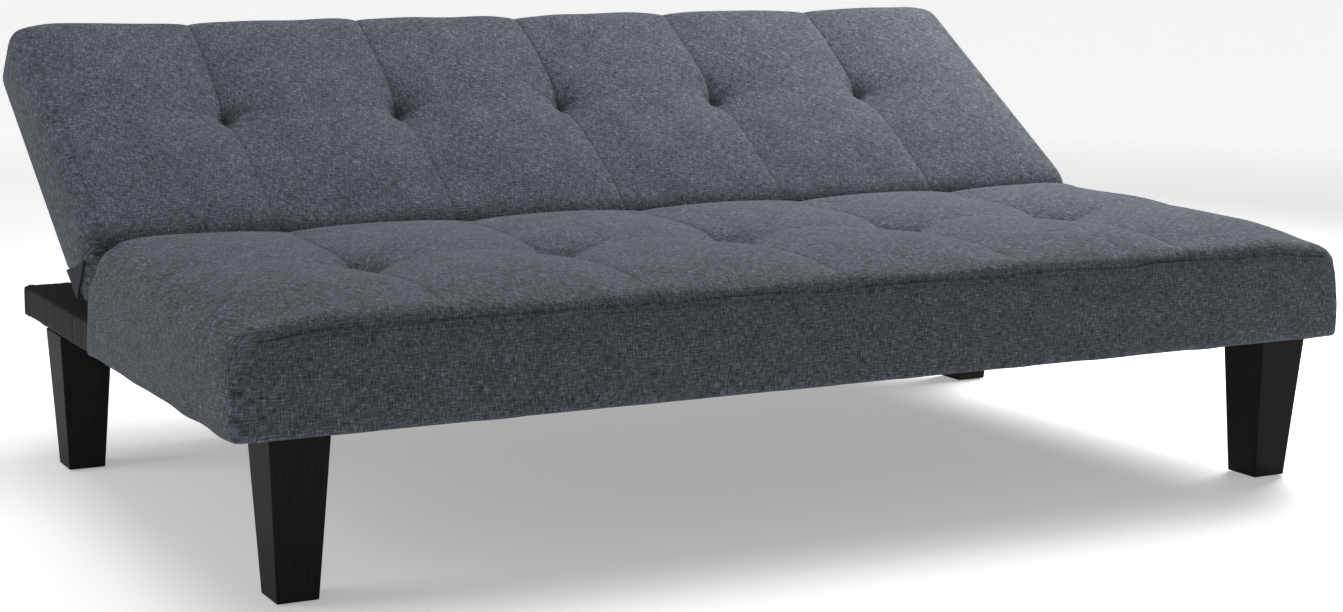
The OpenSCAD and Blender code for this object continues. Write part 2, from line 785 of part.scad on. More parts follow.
seat_front_rail();
seat_rear_rail();
seat_side_rail_left();
seat_side_rail_right();
seat_corner_blocks();
seat_springs();
seat_spring_clips();
seat_felt();
seat_foam();
seat_wadding();
seat_cover();
seat_dust_cover();
seat_tuft_ties();
seat_tuft_washers();
base_arm_left();
base_arm_right();
base_cross_rail();
base_rear_rail();
base_stretchers();
base_leg_blocks();
base_cover();
frame_bolts();
leg_front_left();
leg_front_right();
leg_rear_left();
leg_rear_right();
leg_hanger_bolts();
leg_tee_nuts();
leg_glides();
hinge_seat_plate_left();
hinge_seat_plate_right();
hinge_pivot_bolts();
hinge_pivot_nuts();
hinge_seat_screws();
hinge_pawl_left();
hinge_pawl_right();
hinge_pawl_pins();
back_top_rail();
back_bottom_rail();
back_side_rail_left();
back_side_rail_right();
back_slats();
back_webbing_long();
back_webbing_cross();
back_foam();
back_wadding();
back_cover();
back_rear_cloth();
back_tuft_ties();
back_tuft_washers();
hinge_back_arm_left();
hinge_back_arm_right();
hinge_back_screws();
hinge_gusset_left();
hinge_gusset_right();
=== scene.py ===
import json
import math
import bmesh
import bpy
import numpy as np
from mathutils import Matrix, Vector
from mathutils.bvhtree import BVHTree
from mathutils.kdtree import KDTree


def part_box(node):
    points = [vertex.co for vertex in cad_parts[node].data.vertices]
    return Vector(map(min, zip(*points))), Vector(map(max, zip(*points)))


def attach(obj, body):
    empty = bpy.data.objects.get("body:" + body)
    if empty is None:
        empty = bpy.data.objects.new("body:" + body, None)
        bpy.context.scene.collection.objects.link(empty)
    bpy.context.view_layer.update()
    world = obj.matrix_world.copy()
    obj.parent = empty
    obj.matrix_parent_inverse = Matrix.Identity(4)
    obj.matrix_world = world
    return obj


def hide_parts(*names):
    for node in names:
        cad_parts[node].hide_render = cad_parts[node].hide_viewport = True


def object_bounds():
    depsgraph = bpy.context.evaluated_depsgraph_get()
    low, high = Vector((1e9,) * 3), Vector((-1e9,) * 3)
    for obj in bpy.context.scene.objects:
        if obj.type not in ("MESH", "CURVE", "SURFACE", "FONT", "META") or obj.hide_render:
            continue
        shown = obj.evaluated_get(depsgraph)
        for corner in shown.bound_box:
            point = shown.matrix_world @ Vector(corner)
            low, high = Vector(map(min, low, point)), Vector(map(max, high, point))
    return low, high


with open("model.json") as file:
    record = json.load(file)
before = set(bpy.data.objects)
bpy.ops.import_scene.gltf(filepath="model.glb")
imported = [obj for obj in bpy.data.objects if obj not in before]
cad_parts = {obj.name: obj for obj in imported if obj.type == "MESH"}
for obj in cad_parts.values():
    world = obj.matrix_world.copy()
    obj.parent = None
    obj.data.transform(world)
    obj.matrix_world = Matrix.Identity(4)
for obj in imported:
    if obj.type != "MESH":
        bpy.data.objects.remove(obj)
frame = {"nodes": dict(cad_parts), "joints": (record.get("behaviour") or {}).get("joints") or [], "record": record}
cadLow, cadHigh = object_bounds()
nodes = frame["nodes"]
scene = bpy.context.scene
recline = next(j for j in frame["joints"] if j["name"] == "backrest_recline")
pivot = Vector(recline["pos_m"])
restTurn = math.radians(-recline["range_deg"][0])  # the back above the horizontal at rest
fullTurn = math.radians(recline["range_deg"][1] - recline["range_deg"][0])
turnBack = Matrix.Translation(pivot) @ Matrix.Rotation(restTurn, 4, "X")


camera = {
    "place": (-1.680, -2.942, 0.804), "turn": (80.29, 0, -24.343),
    "lens": 61.57, "sensor": 36, "shift": 0.1761,
}
studio = {
    "world": 0.16, "backdrop": 0.93, "floor": (0.90, 0.90, 0.90), "glow": 0.40, "farGlow": 0.84,
    "floorEdge": 40,
    "lights": [  # name, place, aim, size, watts
        ("key", (1.9, 0.5, 1.7), (0.6, 0.0, 0.35), 1.1, 68),
        ("side", (-3.0, 0.4, 1.3), (-0.3, 0.1, 0.3), 1.4, 20),
        ("top", (-0.4, 0.4, 3.0), (-0.1, 0.1, 0.3), 1.8, 52),
    ],
}


def makeCamera():
    data = bpy.data.cameras.new("camera")
    data.lens, data.sensor_width, data.shift_x = camera["lens"], camera["sensor"], camera["shift"]
    obj = bpy.data.objects.new("camera", data)
    scene.collection.objects.link(obj)
    obj.location = camera["place"]
    obj.rotation_euler = [math.radians(a) for a in camera["turn"]]
    scene.camera = obj


def makeStudio(floorMaterial):
    scene.view_settings.view_transform = "Standard"
    world = bpy.data.worlds.new("studio")
    world.use_nodes = True
    # the backdrop is seen pale, and lights the sofa less than it shows
    tree = world.node_tree
    background = tree.nodes["Background"]
    background.inputs["Color"].default_value = (1, 1, 1, 1)
    seen, strength = tree.nodes.new("ShaderNodeLightPath"), tree.nodes.new("ShaderNodeMix")
    strength.inputs[2].default_value, strength.inputs[3].default_value = studio["world"], studio["backdrop"]
    tree.links.new(seen.outputs["Is Camera Ray"], strength.inputs[0])
    tree.links.new(strength.outputs[0], background.inputs["Strength"])
    scene.world = world
    for name, place, aim, size, watts in studio["lights"]:
        data = bpy.data.lights.new(name, "AREA")
        data.size, data.energy = size, watts
        obj = bpy.data.objects.new(name, data)
        obj.location = place
        obj.rotation_euler = (Vector(aim) - Vector(place)).to_track_quat("-Z", "Y").to_euler()
        scene.collection.objects.link(obj)
    edge = studio["floorEdge"]
    corners = [(-edge, -edge, 0), (edge, -edge, 0), (edge, edge, 0), (-edge, edge, 0)]
    floor = makeObject("floor", corners, [(0, 1, 2, 3)], floorMaterial, smooth=False)


def makeObject(name, verts, faces, material, smooth=True):
    mesh = bpy.data.meshes.new(name)
    mesh.from_pydata([tuple(v) for v in verts], [], [tuple(f) for f in faces])
    mesh.validate()
    obj = bpy.data.objects.new(name, mesh)
    scene.collection.objects.link(obj)
    mesh.materials.append(material)
    mesh.polygons.foreach_set("use_smooth", [smooth] * len(mesh.polygons))
    return obj


def getPoints(mesh):
    co = np.zeros(len(mesh.vertices) * 3)
    mesh.vertices.foreach_get("co", co)
    return co.reshape(-1, 3)


def setPoints(mesh, points):
    mesh.vertices.foreach_set("co", points.astype(np.float32).ravel())
    mesh.update()


def skinPlaces(mesh):
    # each point's place across and along the cloth, and 1 on the end panels
    return [getValues(mesh, name) for name in ("acrossPlace", "alongPlace", "capPlace")]


def setValues(mesh, name, values):
    attribute = mesh.attributes.new(name, "FLOAT", "POINT")
    attribute.data.foreach_set("value", np.asarray(values, np.float32))


def getValues(mesh, name):
    values = np.zeros(len(mesh.vertices), np.float32)
    mesh.attributes[name].data.foreach_get("value", values)
    return values.astype(float)


def bakeModifiers(obj):
    # the evaluated mesh takes the place of the object's own, and every modifier goes
    evaluated = obj.evaluated_get(bpy.context.evaluated_depsgraph_get())
    mesh = bpy.data.meshes.new_from_object(evaluated)
    old, obj.data = obj.data, mesh
    obj.modifiers.clear()
    bpy.data.meshes.remove(old)


def smoothStep(x, low, high):
    t = np.clip((x - low) / (high - low), 0, 1)
    return t * t * (3 - 2 * t)


def ripple(x, seed, waves, count=5):
    # a sum of sines with seeded lengths and phases, about -1 to 1
    draw = np.random.default_rng(seed)
    total = np.zeros_like(x)
    for i in range(count):
        length, phase = draw.uniform(*waves), draw.uniform(0, math.tau)
        total += np.sin(math.tau * x / length + phase)
    return total / math.sqrt(count)


def roundPath(corners, step=0.0015):
    # closed path clockwise in Y and Z through corners of (y, z, radius); marks give each corner's middle
    path, marks = [], []
    count = len(corners)
    for i, (y, z, radius) in enumerate(corners):
        here = np.array([y, z])
        back = np.array(corners[i - 1][:2]) - here
        on = np.array(corners[(i + 1) % count][:2]) - here
        back, on = back / np.linalg.norm(back), on / np.linalg.norm(on)
        half = math.acos(np.clip(back @ on, -1, 1)) / 2
        reach = radius / math.tan(half)
        centre = here + (back + on) / np.linalg.norm(back + on) * radius / math.sin(half)
        start, end = here + back * reach - centre, here + on * reach - centre
        sweep = math.pi - 2 * half
        steps = max(4, int(radius * sweep / step))
        marks.append(len(path) + steps // 2)
        for k in range(steps + 1):
            t = k / steps
            a, b = math.sin((1 - t) * sweep) / math.sin(sweep), math.sin(t * sweep) / math.sin(sweep)
            path.append(centre + start * a + end * b)
    return np.array(path), marks


def densify(path, step=0.003):
    out = []
    for i, p in enumerate(path):
        q = path[(i + 1) % len(path)]
        count = max(1, int(np.linalg.norm(q - p) / step))
        out += [p + (q - p) * k / count for k in range(count)]
    return np.array(out)


def stations(length, step, features):
    # places from 0 to length: evenly by step, closer around each feature of (place, reach, fine step)
    growth = 0.35  # how fast the step widens past a feature's reach

    def size(s):
        return min([step] + [fine + max(0.0, abs(s - at) - reach) * growth for at, reach, fine in features])

    places = [0.0]
    while places[-1] < length:
        places.append(places[-1] + size(places[-1] + size(places[-1]) / 2))
    places = np.array(places)
    return places * (length / places[-1])


class Cushion:
    # a closed skin: rings of one outline along X, and a cap of quads at each end

    def __init__(self, name, corners, half, xs, step, edgeRound, features, warp=None):
        self.name, self.half = name, half
        path, marks = roundPath(corners)
        marked = [path[m] for m in marks]
        path = densify(path)
        if warp:
            path, marked = warp(path), [warp(p[None])[0] for p in marked]
        starts = [int(np.argmin(np.linalg.norm(path - p, axis=1))) for p in marked]
        path = np.roll(path, -starts[0], axis=0)
        starts = [(s - starts[0]) % len(path) for s in starts] + [len(path)]
        closed = np.vstack([path, path[:1]])
        run = np.concatenate([[0], np.cumsum(np.linalg.norm(np.diff(closed, axis=0), axis=1))])
        at = [run[s] for s in starts]  # where the front, top, rear and bottom begin
        self.begin = at
        fine = [(0.0, 0.004, 0.003)]
        front = stations(at[1] - at[0], step, fine + [(at[1] - at[0], 0.004, 0.003)] + features[0])
        top = stations(at[2] - at[1], step, fine + [(at[2] - at[1], 0.004, 0.003)] + features[1])
        frontShare, topShare = front / front[-1], top / top[-1]
        places = np.concatenate([
            at[0] + front[:-1], at[1] + top[:-1],
            at[2] + (1 - frontShare[::-1][:-1]) * (at[3] - at[2]),
            at[3] + (1 - topShare[::-1][:-1]) * (at[4] - at[3])])
        self.run = places
        self.outline = np.stack([np.interp(places, run, closed[:, k]) for k in (0, 1)], 1)
        ahead, behind = np.roll(self.outline, -1, 0), np.roll(self.outline, 1, 0)
        along = ahead - behind
        along /= np.linalg.norm(along, axis=1)[:, None]
        self.normal = np.stack([-along[:, 1], along[:, 0]], 1)
        low, high = self.outline[:, 1].min(), self.outline[:, 1].max()
        up = (self.outline[:, 1] - low) / (high - low)
        self.round = edgeRound[0] + (edgeRound[1] - edgeRound[0]) * smoothStep(up, 0.0, 1.0)
        self.xs = np.concatenate([[-half], xs, [half]])
        self.build(len(front) - 1, len(top) - 1, frontShare, topShare)

    def build(self, nt, ns, t, s):
        n, m = len(self.xs), len(self.outline)
        x = np.repeat(self.xs[:, None], m, 1)
        x[0], x[-1] = -(self.half - self.round), self.half - self.round
        rings = np.stack([x, np.broadcast_to(self.outline[:, 0], (n, m)),
                          np.broadcast_to(self.outline[:, 1], (n, m))], 2)
        frontSide, topSide = self.outline[:nt + 1], self.outline[nt:nt + ns + 1]
        rearSide = self.outline[nt + ns:2 * nt + ns + 1][::-1]
        bottomSide = np.vstack([self.outline[2 * nt + ns:], self.outline[:1]])[::-1]
        a, b = s[1:-1, None, None], t[None, 1:-1, None]
        patch = ((1 - b) * bottomSide[1:-1, None] + b * topSide[1:-1, None]
                 + (1 - a) * frontSide[None, 1:-1] + a * rearSide[None, 1:-1]
                 - (1 - a) * (1 - b) * frontSide[0] - (1 - a) * b * frontSide[-1]
                 - a * (1 - b) * rearSide[0] - a * b * rearSide[-1])
        flat = patch.reshape(-1, 2)
        p, q = self.outline, np.roll(self.outline, -1, 0)
        edge = q - p
        share = np.clip((((flat[:, None] - p) * edge).sum(2)) / (edge ** 2).sum(1), 0, 1)
        gap = np.linalg.norm(flat[:, None] - (p + share[..., None] * edge), axis=2)
        nearest = gap.argmin(1)
        self.capDepth, r = gap.min(1), self.round[nearest]
        e = np.minimum(self.capDepth, r)
        capX = self.half - r + np.sqrt(np.maximum(0, 2 * r * e - e * e))
        index = np.zeros((ns + 1, nt + 1), int)
        inner = np.arange((ns - 1) * (nt - 1)).reshape(ns - 1, nt - 1)
        self.faces = []
        i, j = np.meshgrid(np.arange(n - 1), np.arange(m), indexing="ij")
        k = (j + 1) % m
        around = np.stack([i * m + j, (i + 1) * m + j, (i + 1) * m + k, i * m + k], 2)
        self.faces += around.reshape(-1, 4).tolist()
        caps = []
        for side, ring in ((-1, 0), (1, n - 1)):
            first = n * m + len(caps) * len(flat)
            index[1:-1, 1:-1] = inner + first
            index[0] = ring * m + np.arange(nt + 1)
            index[:, nt] = ring * m + nt + np.arange(ns + 1)
            index[ns] = ring * m + nt + ns + nt - np.arange(nt + 1)
            index[:, 0] = ring * m + (2 * nt + ns + ns - np.arange(ns + 1)) % m
            quads = np.stack([index[:-1, :-1], index[1:, :-1], index[1:, 1:], index[:-1, 1:]], 2)
            quads = quads.reshape(-1, 4)
            self.faces += (quads if side > 0 else quads[:, ::-1]).tolist()
            caps.append(np.column_stack([side * capX, flat]))
        self.points = np.vstack([rings.reshape(-1, 3)] + caps)
        ringX = rings[:, :, 0].ravel()
        capZeros = np.zeros(2 * len(flat))
        self.x = np.concatenate([ringX, self.points[n * m:, 0]])
        self.s = np.concatenate([np.tile(self.run, n), capZeros])
        self.cap = np.concatenate([np.zeros(n * m), capZeros + 1])
        self.out = np.vstack([
            np.column_stack([np.zeros(n * m), np.tile(self.normal, (n, 1))]),
            np.repeat([[-1.0, 0, 0], [1.0, 0, 0]], len(flat), 0)])
        self.capInside = np.concatenate([np.zeros(n * m), np.tile(self.capDepth, 2)])

    def push(self, amount):
        self.points = self.points + self.out * amount[:, None]

    def make(self, material):
        obj = makeObject(self.name, self.points, self.faces, material)
        setValues(obj.data, "acrossPlace", self.x)
        setValues(obj.data, "alongPlace", self.s)
        setValues(obj.data, "capPlace", self.cap)
        return obj


def fillWithAir(obj, hold, pressure, frames, limit, stiff=15.0, bend=2.0):
    # swells the skin by a cloth simulation; hold is 1 where it is tied and 0 where it is free
    group = obj.vertex_groups.new(name="hold")
    levels = np.round(hold * 10).astype(int)
    for level in range(1, 11):
        group.add(np.nonzero(levels == level)[0].tolist(), level / 10, "REPLACE")
    before = getPoints(obj.data)
    cloth = obj.modifiers.new("fill", "CLOTH")
    setup = cloth.settings
    setup.quality, setup.mass = 4, 0.25
    setup.tension_stiffness = setup.compression_stiffness = stiff
    setup.shear_stiffness, setup.bending_stiffness = stiff / 3, bend
    setup.vertex_group_mass = "hold"
    setup.use_pressure, setup.uniform_pressure_force = True, pressure
    setup.effector_weights.gravity = 0
    cloth.collision_settings.use_collision = False
    cloth.point_cache.frame_start, cloth.point_cache.frame_end = 1, frames
    for number in range(1, frames + 1):
        scene.frame_set(number)
    evaluated = obj.evaluated_get(bpy.context.evaluated_depsgraph_get())
    after = getPoints(evaluated.data)
    obj.modifiers.clear()
    obj.vertex_groups.clear()
    scene.frame_set(1)
    moved = after - before
    length = np.linalg.norm(moved, axis=1)
    moved *= np.minimum(1, limit / np.maximum(length, 1e-9))[:, None]
    setPoints(obj.data, before + moved)
    print("filled", obj.name, "moved up to mm", round(float(length.max()) * 1000, 1))


def refine(obj):
    level = obj.modifiers.new("refine", "SUBSURF")
    level.levels = level.render_levels = 1
    bakeModifiers(obj)


def pointNormals(mesh):
    normals = np.zeros(len(mesh.vertices) * 3, np.float32)
    mesh.vertex_normals.foreach_get("vector", normals)
    return normals.reshape(-1, 3).astype(float)


def layWeave(obj):
    # UV in metres: across and along the cloth on the rings, depth and height on the end panels
    mesh = obj.data
    across, along, cap = skinPlaces(mesh)
    points = getPoints(mesh)
    corner = np.zeros(len(mesh.loops), int)
    mesh.loops.foreach_get("vertex_index", corner)
    sizes = np.zeros(len(mesh.polygons), int)
    mesh.polygons.foreach_get("loop_total", sizes)
    face = np.repeat(np.arange(len(sizes)), sizes)
    onCap = np.zeros(len(sizes))
    np.maximum.at(onCap, face, cap[corner])
    isCap = onCap[face] > 0.01
    u = np.where(isCap, points[corner, 1] + 3, across[corner])
    faceLow = np.full(len(sizes), 1e9)
    np.minimum.at(faceLow, face, along[corner])
    wrap = along.max()
    v = np.where(isCap, points[corner, 2], along[corner])
    v = np.where(~isCap & (v - faceLow[face] > wrap / 2), v - wrap, v)
    layer = mesh.uv_layers.new(name="weave")
    layer.data.foreach_set("uv", np.stack([u, v], 1).astype(np.float32).ravel())


class Wire:
    # a socket that adds Math nodes when used in an expression

    def __init__(self, tree, socket):
        self.tree, self.socket = tree, socket

    def math(self, operation, first, second):
        return self.make("ShaderNodeMath", {"operation": operation}, {0: first, 1: second})

    def make(self, kind, settings, inputs, output=0):
        node = self.tree.nodes.new(kind)
        for key, value in settings.items():
            if key == "stops":
                ramp = node.color_ramp
                while len(ramp.elements) < len(value):
                    ramp.elements.new(0.5)
                for element, (place, colour) in zip(ramp.elements, value):
                    element.position, element.color = place, (*colour, 1)
            else:
                setattr(node, key, value)
        for key, value in inputs.items():
            target = node.inputs[key]
            if isinstance(value, Wire):
                self.tree.links.new(value.socket, target)
            else:
                target.default_value = value
        return Wire(self.tree, node.outputs[output])

    def __add__(self, other):
        return self.math("ADD", self, other)

    def __radd__(self, other):
        return self.math("ADD", other, self)

    def __sub__(self, other):
        return self.math("SUBTRACT", self, other)

    def __rsub__(self, other):
        return self.math("SUBTRACT", other, self)

    def __mul__(self, other):
        return self.math("MULTIPLY", self, other)

    def __rmul__(self, other):
        return self.math("MULTIPLY", other, self)


class Surface:
    # a material with its shader, and short calls for the nodes it uses

    def __init__(self, name, rough=0.6, metal=0.0, sheen=0.0, sheenRough=0.5, specular=0.5, coat=0.0):
        self.material = bpy.data.materials.new(name)
        self.material.use_nodes = True
        self.tree = self.material.node_tree
        self.shader = self.tree.nodes["Principled BSDF"]
        fixed = {"Roughness": rough, "Metallic": metal, "Sheen Weight": sheen,
                 "Sheen Roughness": sheenRough, "Specular IOR Level": specular, "Coat Weight": coat}
        for key, value in fixed.items():
            self.shader.inputs[key].default_value = value
        self.wire = Wire(self.tree, None)

    def place(self, source="Object", scale=(1, 1, 1), turn=(0, 0, 0)):
        at = self.wire.make("ShaderNodeTexCoord", {}, {}, source)
        return self.wire.make("ShaderNodeMapping", {}, {0: at, "Scale": scale, "Rotation": turn})

    def noise(self, at, scale, detail=2.0, rough=0.5, distortion=0.0):
        return self.wire.make("ShaderNodeTexNoise", {}, {
            "Vector": at, "Scale": scale, "Detail": detail, "Roughness": rough,
            "Distortion": distortion}, "Fac")

    def cells(self, at, scale, uneven=1.0):
        sizes = {"Vector": at, "Scale": scale, "Randomness": uneven}
        return self.wire.make("ShaderNodeTexVoronoi", {"feature": "F1"}, sizes, "Distance")

    def wave(self, at, scale, direction="X", distortion=0.0):
        settings = {"wave_type": "BANDS", "bands_direction": direction}
        return self.wire.make("ShaderNodeTexWave", settings, {
            "Vector": at, "Scale": scale, "Distortion": distortion, "Detail": 1.0}, "Fac")

    def ramp(self, value, stops):
        return self.wire.make("ShaderNodeValToRGB", {"stops": stops}, {0: value})

    def mix(self, share, first, second):
        settings = {"data_type": "RGBA"}
        colours = {6: first if isinstance(first, Wire) else (*first, 1),
                   7: second if isinstance(second, Wire) else (*second, 1)}
        return self.wire.make("ShaderNodeMix", settings, {0: share, **colours}, 2)

    def finish(self, colour, rough=None, height=None, strength=0.3, depth=0.001):
        for key, value in (("Base Color", colour), ("Roughness", rough)):
            if value is not None:
                self.tree.links.new(value.socket, self.shader.inputs[key])
        if height is not None:
            sizes = {"Height": height, "Strength": strength, "Distance": depth}
            bump = self.wire.make("ShaderNodeBump", {}, sizes)
            self.tree.links.new(bump.socket, self.shader.inputs["Normal"])
        return self.material


def shade(colour, by):
    return tuple(c * by for c in colour)


weave = {
    "colour": (0.079, 0.087, 0.102), "light": 2.7, "dark": 0.24,
    "slubAcross": 480, "slubAlong": 88, "pitch": 0.0014,
}


def makeWeave():
    # heathered plain weave: short light and dark flecks of yarn along both threads
    s = Surface("heatheredWeave", rough=0.95, sheen=0.08, sheenRough=0.4, specular=0.12)
    base = weave["colour"]
    warp = s.noise(s.place("UV", (weave["slubAcross"], weave["slubAlong"], 1)), 1.0, 3, 0.62)
    weft = s.noise(s.place("UV", (weave["slubAlong"], weave["slubAcross"], 1)), 1.0, 3, 0.62)
    cloud = s.noise(s.place("UV", (1, 1, 1)), 26, 4, 0.6)
    fleck = s.noise(s.place("UV", (1, 1, 1)), 420, 2, 0.6)
    yarn = warp * 0.40 + weft * 0.40 + fleck * 0.10 + cloud * 0.10
    colour = s.ramp(yarn, [(0.38, shade(base, weave["dark"])), (0.465, shade(base, 0.76)),
                           (0.53, shade(base, 1.20)), (0.63, shade(base, weave["light"]))])
    # painted shade: the crease of a seam is darkened to a dark line, and the floor of a tuft is darkened with
    # painted shade
    seam = s.wire.make("ShaderNodeAttribute", {"attribute_name": "seamShade"}, {}, "Fac")
    colour = s.mix(seam, colour, shade(base, 0.16))
    perUnit = 20  # a band wave repeats this often at a scale of 1
    turns = 1 / weave["pitch"] / perUnit
    spread = s.place("UV", (perUnit, perUnit, perUnit))
    across = s.wave(spread, turns, "X", 0.6)
    along = s.wave(spread, turns, "Y", 0.6)
    height = across * 0.35 + along * 0.35 + yarn * 0.9
    return s.finish(colour, None, height, 0.42, 0.0009)


def makeThread():
    s = Surface("stitchThread", rough=0.7, sheen=0.1)
    twist = s.wave(s.place("Object", (1, 1, 1), (0.5, 0.4, 0.2)), 700, "X")
    colour = s.ramp(twist, [(0.0, (0.030, 0.033, 0.040)), (1.0, (0.075, 0.083, 0.098))])
    return s.finish(colour, None, twist, 0.2, 0.0002)


def makeNonWoven(name, tone):
    # spun-bonded cloth: a fine emboss of dots over matted fibres
    s = Surface(name, rough=0.82, sheen=0.03, specular=0.16)
    at = s.place()
    fibre = s.noise(at, 900, 3, 0.7)
    patch = s.noise(at, 14, 3, 0.55)
    dots = s.cells(at, 520.0, 0.15)
    colour = s.ramp(fibre * 0.5 + patch * 0.5, [(0.3, shade(tone, 0.65)), (0.7, shade(tone, 1.45))])
    return s.finish(colour, 0.70 + fibre * 0.2, dots * 0.6 + fibre * 0.5, 0.35, 0.0005)


def makeLegWood():
    # black-brown lacquer with the grain showing up the leg
    s = Surface("legLacquer", specular=0.09, coat=0.01)
    grain = s.noise(s.place("Object", (260, 260, 9)), 1.0, 5, 0.6, 0.4)
    pores = s.noise(s.place("Object", (900, 900, 24)), 1.0, 2, 0.5)
    mix = grain * 0.7 + pores * 0.3
    colour = s.ramp(mix, [(0.32, (0.0042, 0.0034, 0.0030)), (0.55, (0.0090, 0.0074, 0.0064)),
                          (0.75, (0.020, 0.016, 0.013))])
    return s.finish(colour, 0.46 + grain * 0.2, mix, 0.30, 0.0006)


def makeTimber():
    s = Surface("sawnTimber", specular=0.3)
    warped = s.place("Object", (1.2, 9, 9))
    rings = s.wave(warped, 3.2, "Z", 7.0)
    fibre = s.noise(s.place("Object", (30, 700, 700)), 1.0, 3, 0.6)
    mix = rings * 0.55 + fibre * 0.45
    colour = s.ramp(mix, [(0.15, (0.33, 0.20, 0.10)), (0.6, (0.55, 0.38, 0.21)), (0.95, (0.66, 0.49, 0.30))])
    return s.finish(colour, 0.62 + fibre * 0.2, mix, 0.3, 0.0006)


def makeSteel():
    s = Surface("zincPlate", metal=0.95, specular=0.5)
    spangle = s.noise(s.place(), 120, 3, 0.6)
    brushed = s.noise(s.place("Object", (1500, 60, 60)), 1.0, 2, 0.5)
    colour = s.ramp(spangle, [(0.3, (0.38, 0.39, 0.41)), (0.7, (0.62, 0.63, 0.64))])
    return s.finish(colour, 0.28 + spangle * 0.25, brushed, 0.12, 0.0002)


def makePlastic():
    s = Surface("mouldedPlastic", specular=0.4)
    grit = s.noise(s.place(), 1400, 2, 0.5)
    colour = s.ramp(grit, [(0.3, (0.010, 0.010, 0.011)), (0.7, (0.024, 0.024, 0.026))])
    return s.finish(colour, 0.45 + grit * 0.2, grit, 0.2, 0.0002)


def makeSoft(name, low, high, scale, rough=0.95):
    # felt, wadding and foam: matted or open cells
    s = Surface(name, rough=rough, sheen=0.1, specular=0.2)
    cells = s.cells(s.place(), scale)
    cloud = s.noise(s.place(), 30, 4, 0.6)
    return s.finish(s.ramp(cells * 0.6 + cloud * 0.4, [(0.2, low), (0.7, high)]), None, cells, 0.4, 0.001)


def makeWebbing():
    s = Surface("elasticWebbing", rough=0.8, sheen=0.1)
    rib = s.wave(s.place("Object", (1, 1, 1)), 90, "X")
    pick = s.wave(s.place("Object", (1, 1, 1)), 160, "Y")
    colour = s.ramp(rib * 0.5 + pick * 0.5, [(0.2, (0.14, 0.07, 0.035)), (0.8, (0.34, 0.19, 0.10))])
    return s.finish(colour, None, rib + pick, 0.4, 0.0006)


def makeFloor():
    s = Surface("paleFloor", rough=0.9, specular=0.1)
    tone = studio["floor"]
    cloud = s.noise(s.place(), 0.6, 3, 0.5)
    # away from the lights the floor glows, so that it stays as pale as the backdrop
    away = s.wire.make("ShaderNodeVectorMath", {"operation": "LENGTH"}, {0: s.place()}, "Value")
    near, far = shade(tone, studio["glow"]), shade(tone, studio["farGlow"])
    glow = s.ramp(away * 0.1, [(0.16, near), (0.55, far)])
    s.tree.links.new(glow.socket, s.shader.inputs["Emission Color"])
    s.shader.inputs["Emission Strength"].default_value = 1.0
    return s.finish(s.ramp(cloud, [(0.3, shade(tone, 0.995)), (0.7, tone)]))


stitch = {"Pitch": 0.0048, "Length": 0.0034, "Thickness": 0.0009}
seamStep = 0.004  # between the points that a row of stitches follows
threadSink = 0.0002


def stitchTree(material):
    # short threads laid end to end along a seam
    tree = bpy.data.node_groups.new("seamStitches", "GeometryNodeTree")
    face = tree.interface
    face.new_socket("Geometry", in_out="INPUT", socket_type="NodeSocketGeometry")
    pitch = face.new_socket("Pitch", in_out="INPUT", socket_type="NodeSocketFloat")
    length = face.new_socket("Length", in_out="INPUT", socket_type="NodeSocketFloat")
    thick = face.new_socket("Thickness", in_out="INPUT", socket_type="NodeSocketFloat")
    face.new_socket("Geometry", in_out="OUTPUT", socket_type="NodeSocketGeometry")
    add, link = tree.nodes.new, tree.links.new
    start, end = add("NodeGroupInput"), add("NodeGroupOutput")
    toCurve, even = add("GeometryNodeMeshToCurve"), add("GeometryNodeResampleCurve")
    even.mode = "LENGTH"
    tangent, align = add("GeometryNodeInputTangent"), add("FunctionNodeAlignRotationToVector")
    align.axis = "Z"
    onPoints, bead = add("GeometryNodeInstanceOnPoints"), add("GeometryNodeMeshUVSphere")
    bead.inputs["Segments"].default_value, bead.inputs["Rings"].default_value = 6, 4
    bead.inputs["Radius"].default_value = 0.5
    size = add("ShaderNodeCombineXYZ")
    real, paint = add("GeometryNodeRealizeInstances"), add("GeometryNodeSetMaterial")
    paint.inputs["Material"].default_value = material
    link(start.outputs["Geometry"], toCurve.inputs["Mesh"])
    link(toCurve.outputs["Curve"], even.inputs["Curve"])
    link(start.outputs["Pitch"], even.inputs["Length"])
    link(tangent.outputs["Tangent"], align.inputs["Vector"])
    link(even.outputs["Curve"], onPoints.inputs["Points"])
    link(bead.outputs["Mesh"], onPoints.inputs["Instance"])
    link(align.outputs["Rotation"], onPoints.inputs["Rotation"])
    for axis, source in (("X", "Thickness"), ("Y", "Thickness"), ("Z", "Length")):
        link(start.outputs[source], size.inputs[axis])
    link(size.outputs["Vector"], onPoints.inputs["Scale"])
    link(onPoints.outputs["Instances"], real.inputs["Geometry"])
    link(real.outputs["Geometry"], paint.inputs["Geometry"])
    link(paint.outputs["Geometry"], end.inputs["Geometry"])
    return tree, {"Pitch": pitch.identifier, "Length": length.identifier, "Thickness": thick.identifier}


def makeStitches(name, seams, tree, sizes, material):
    # seams is a list of rows of points; one mesh of edges holds them all
    verts, edges = [], []
    for row in seams:
        edges += [(len(verts) + i, len(verts) + i + 1) for i in range(len(row) - 1)]
        verts += [tuple(p) for p in row]
    mesh = bpy.data.meshes.new(name)
    mesh.from_pydata(verts, edges, [])
    obj = bpy.data.objects.new(name, mesh)
    scene.collection.objects.link(obj)
    group, ids = tree
    modifier = obj.modifiers.new("stitch", "NODES")
    modifier.node_group = group
    for key, value in sizes.items():
        modifier[ids[key]] = value
    bakeModifiers(obj)
    if not obj.data.materials:
        obj.data.materials.append(material)
    obj.data.polygons.foreach_set("use_smooth", [True] * len(obj.data.polygons))
    return obj


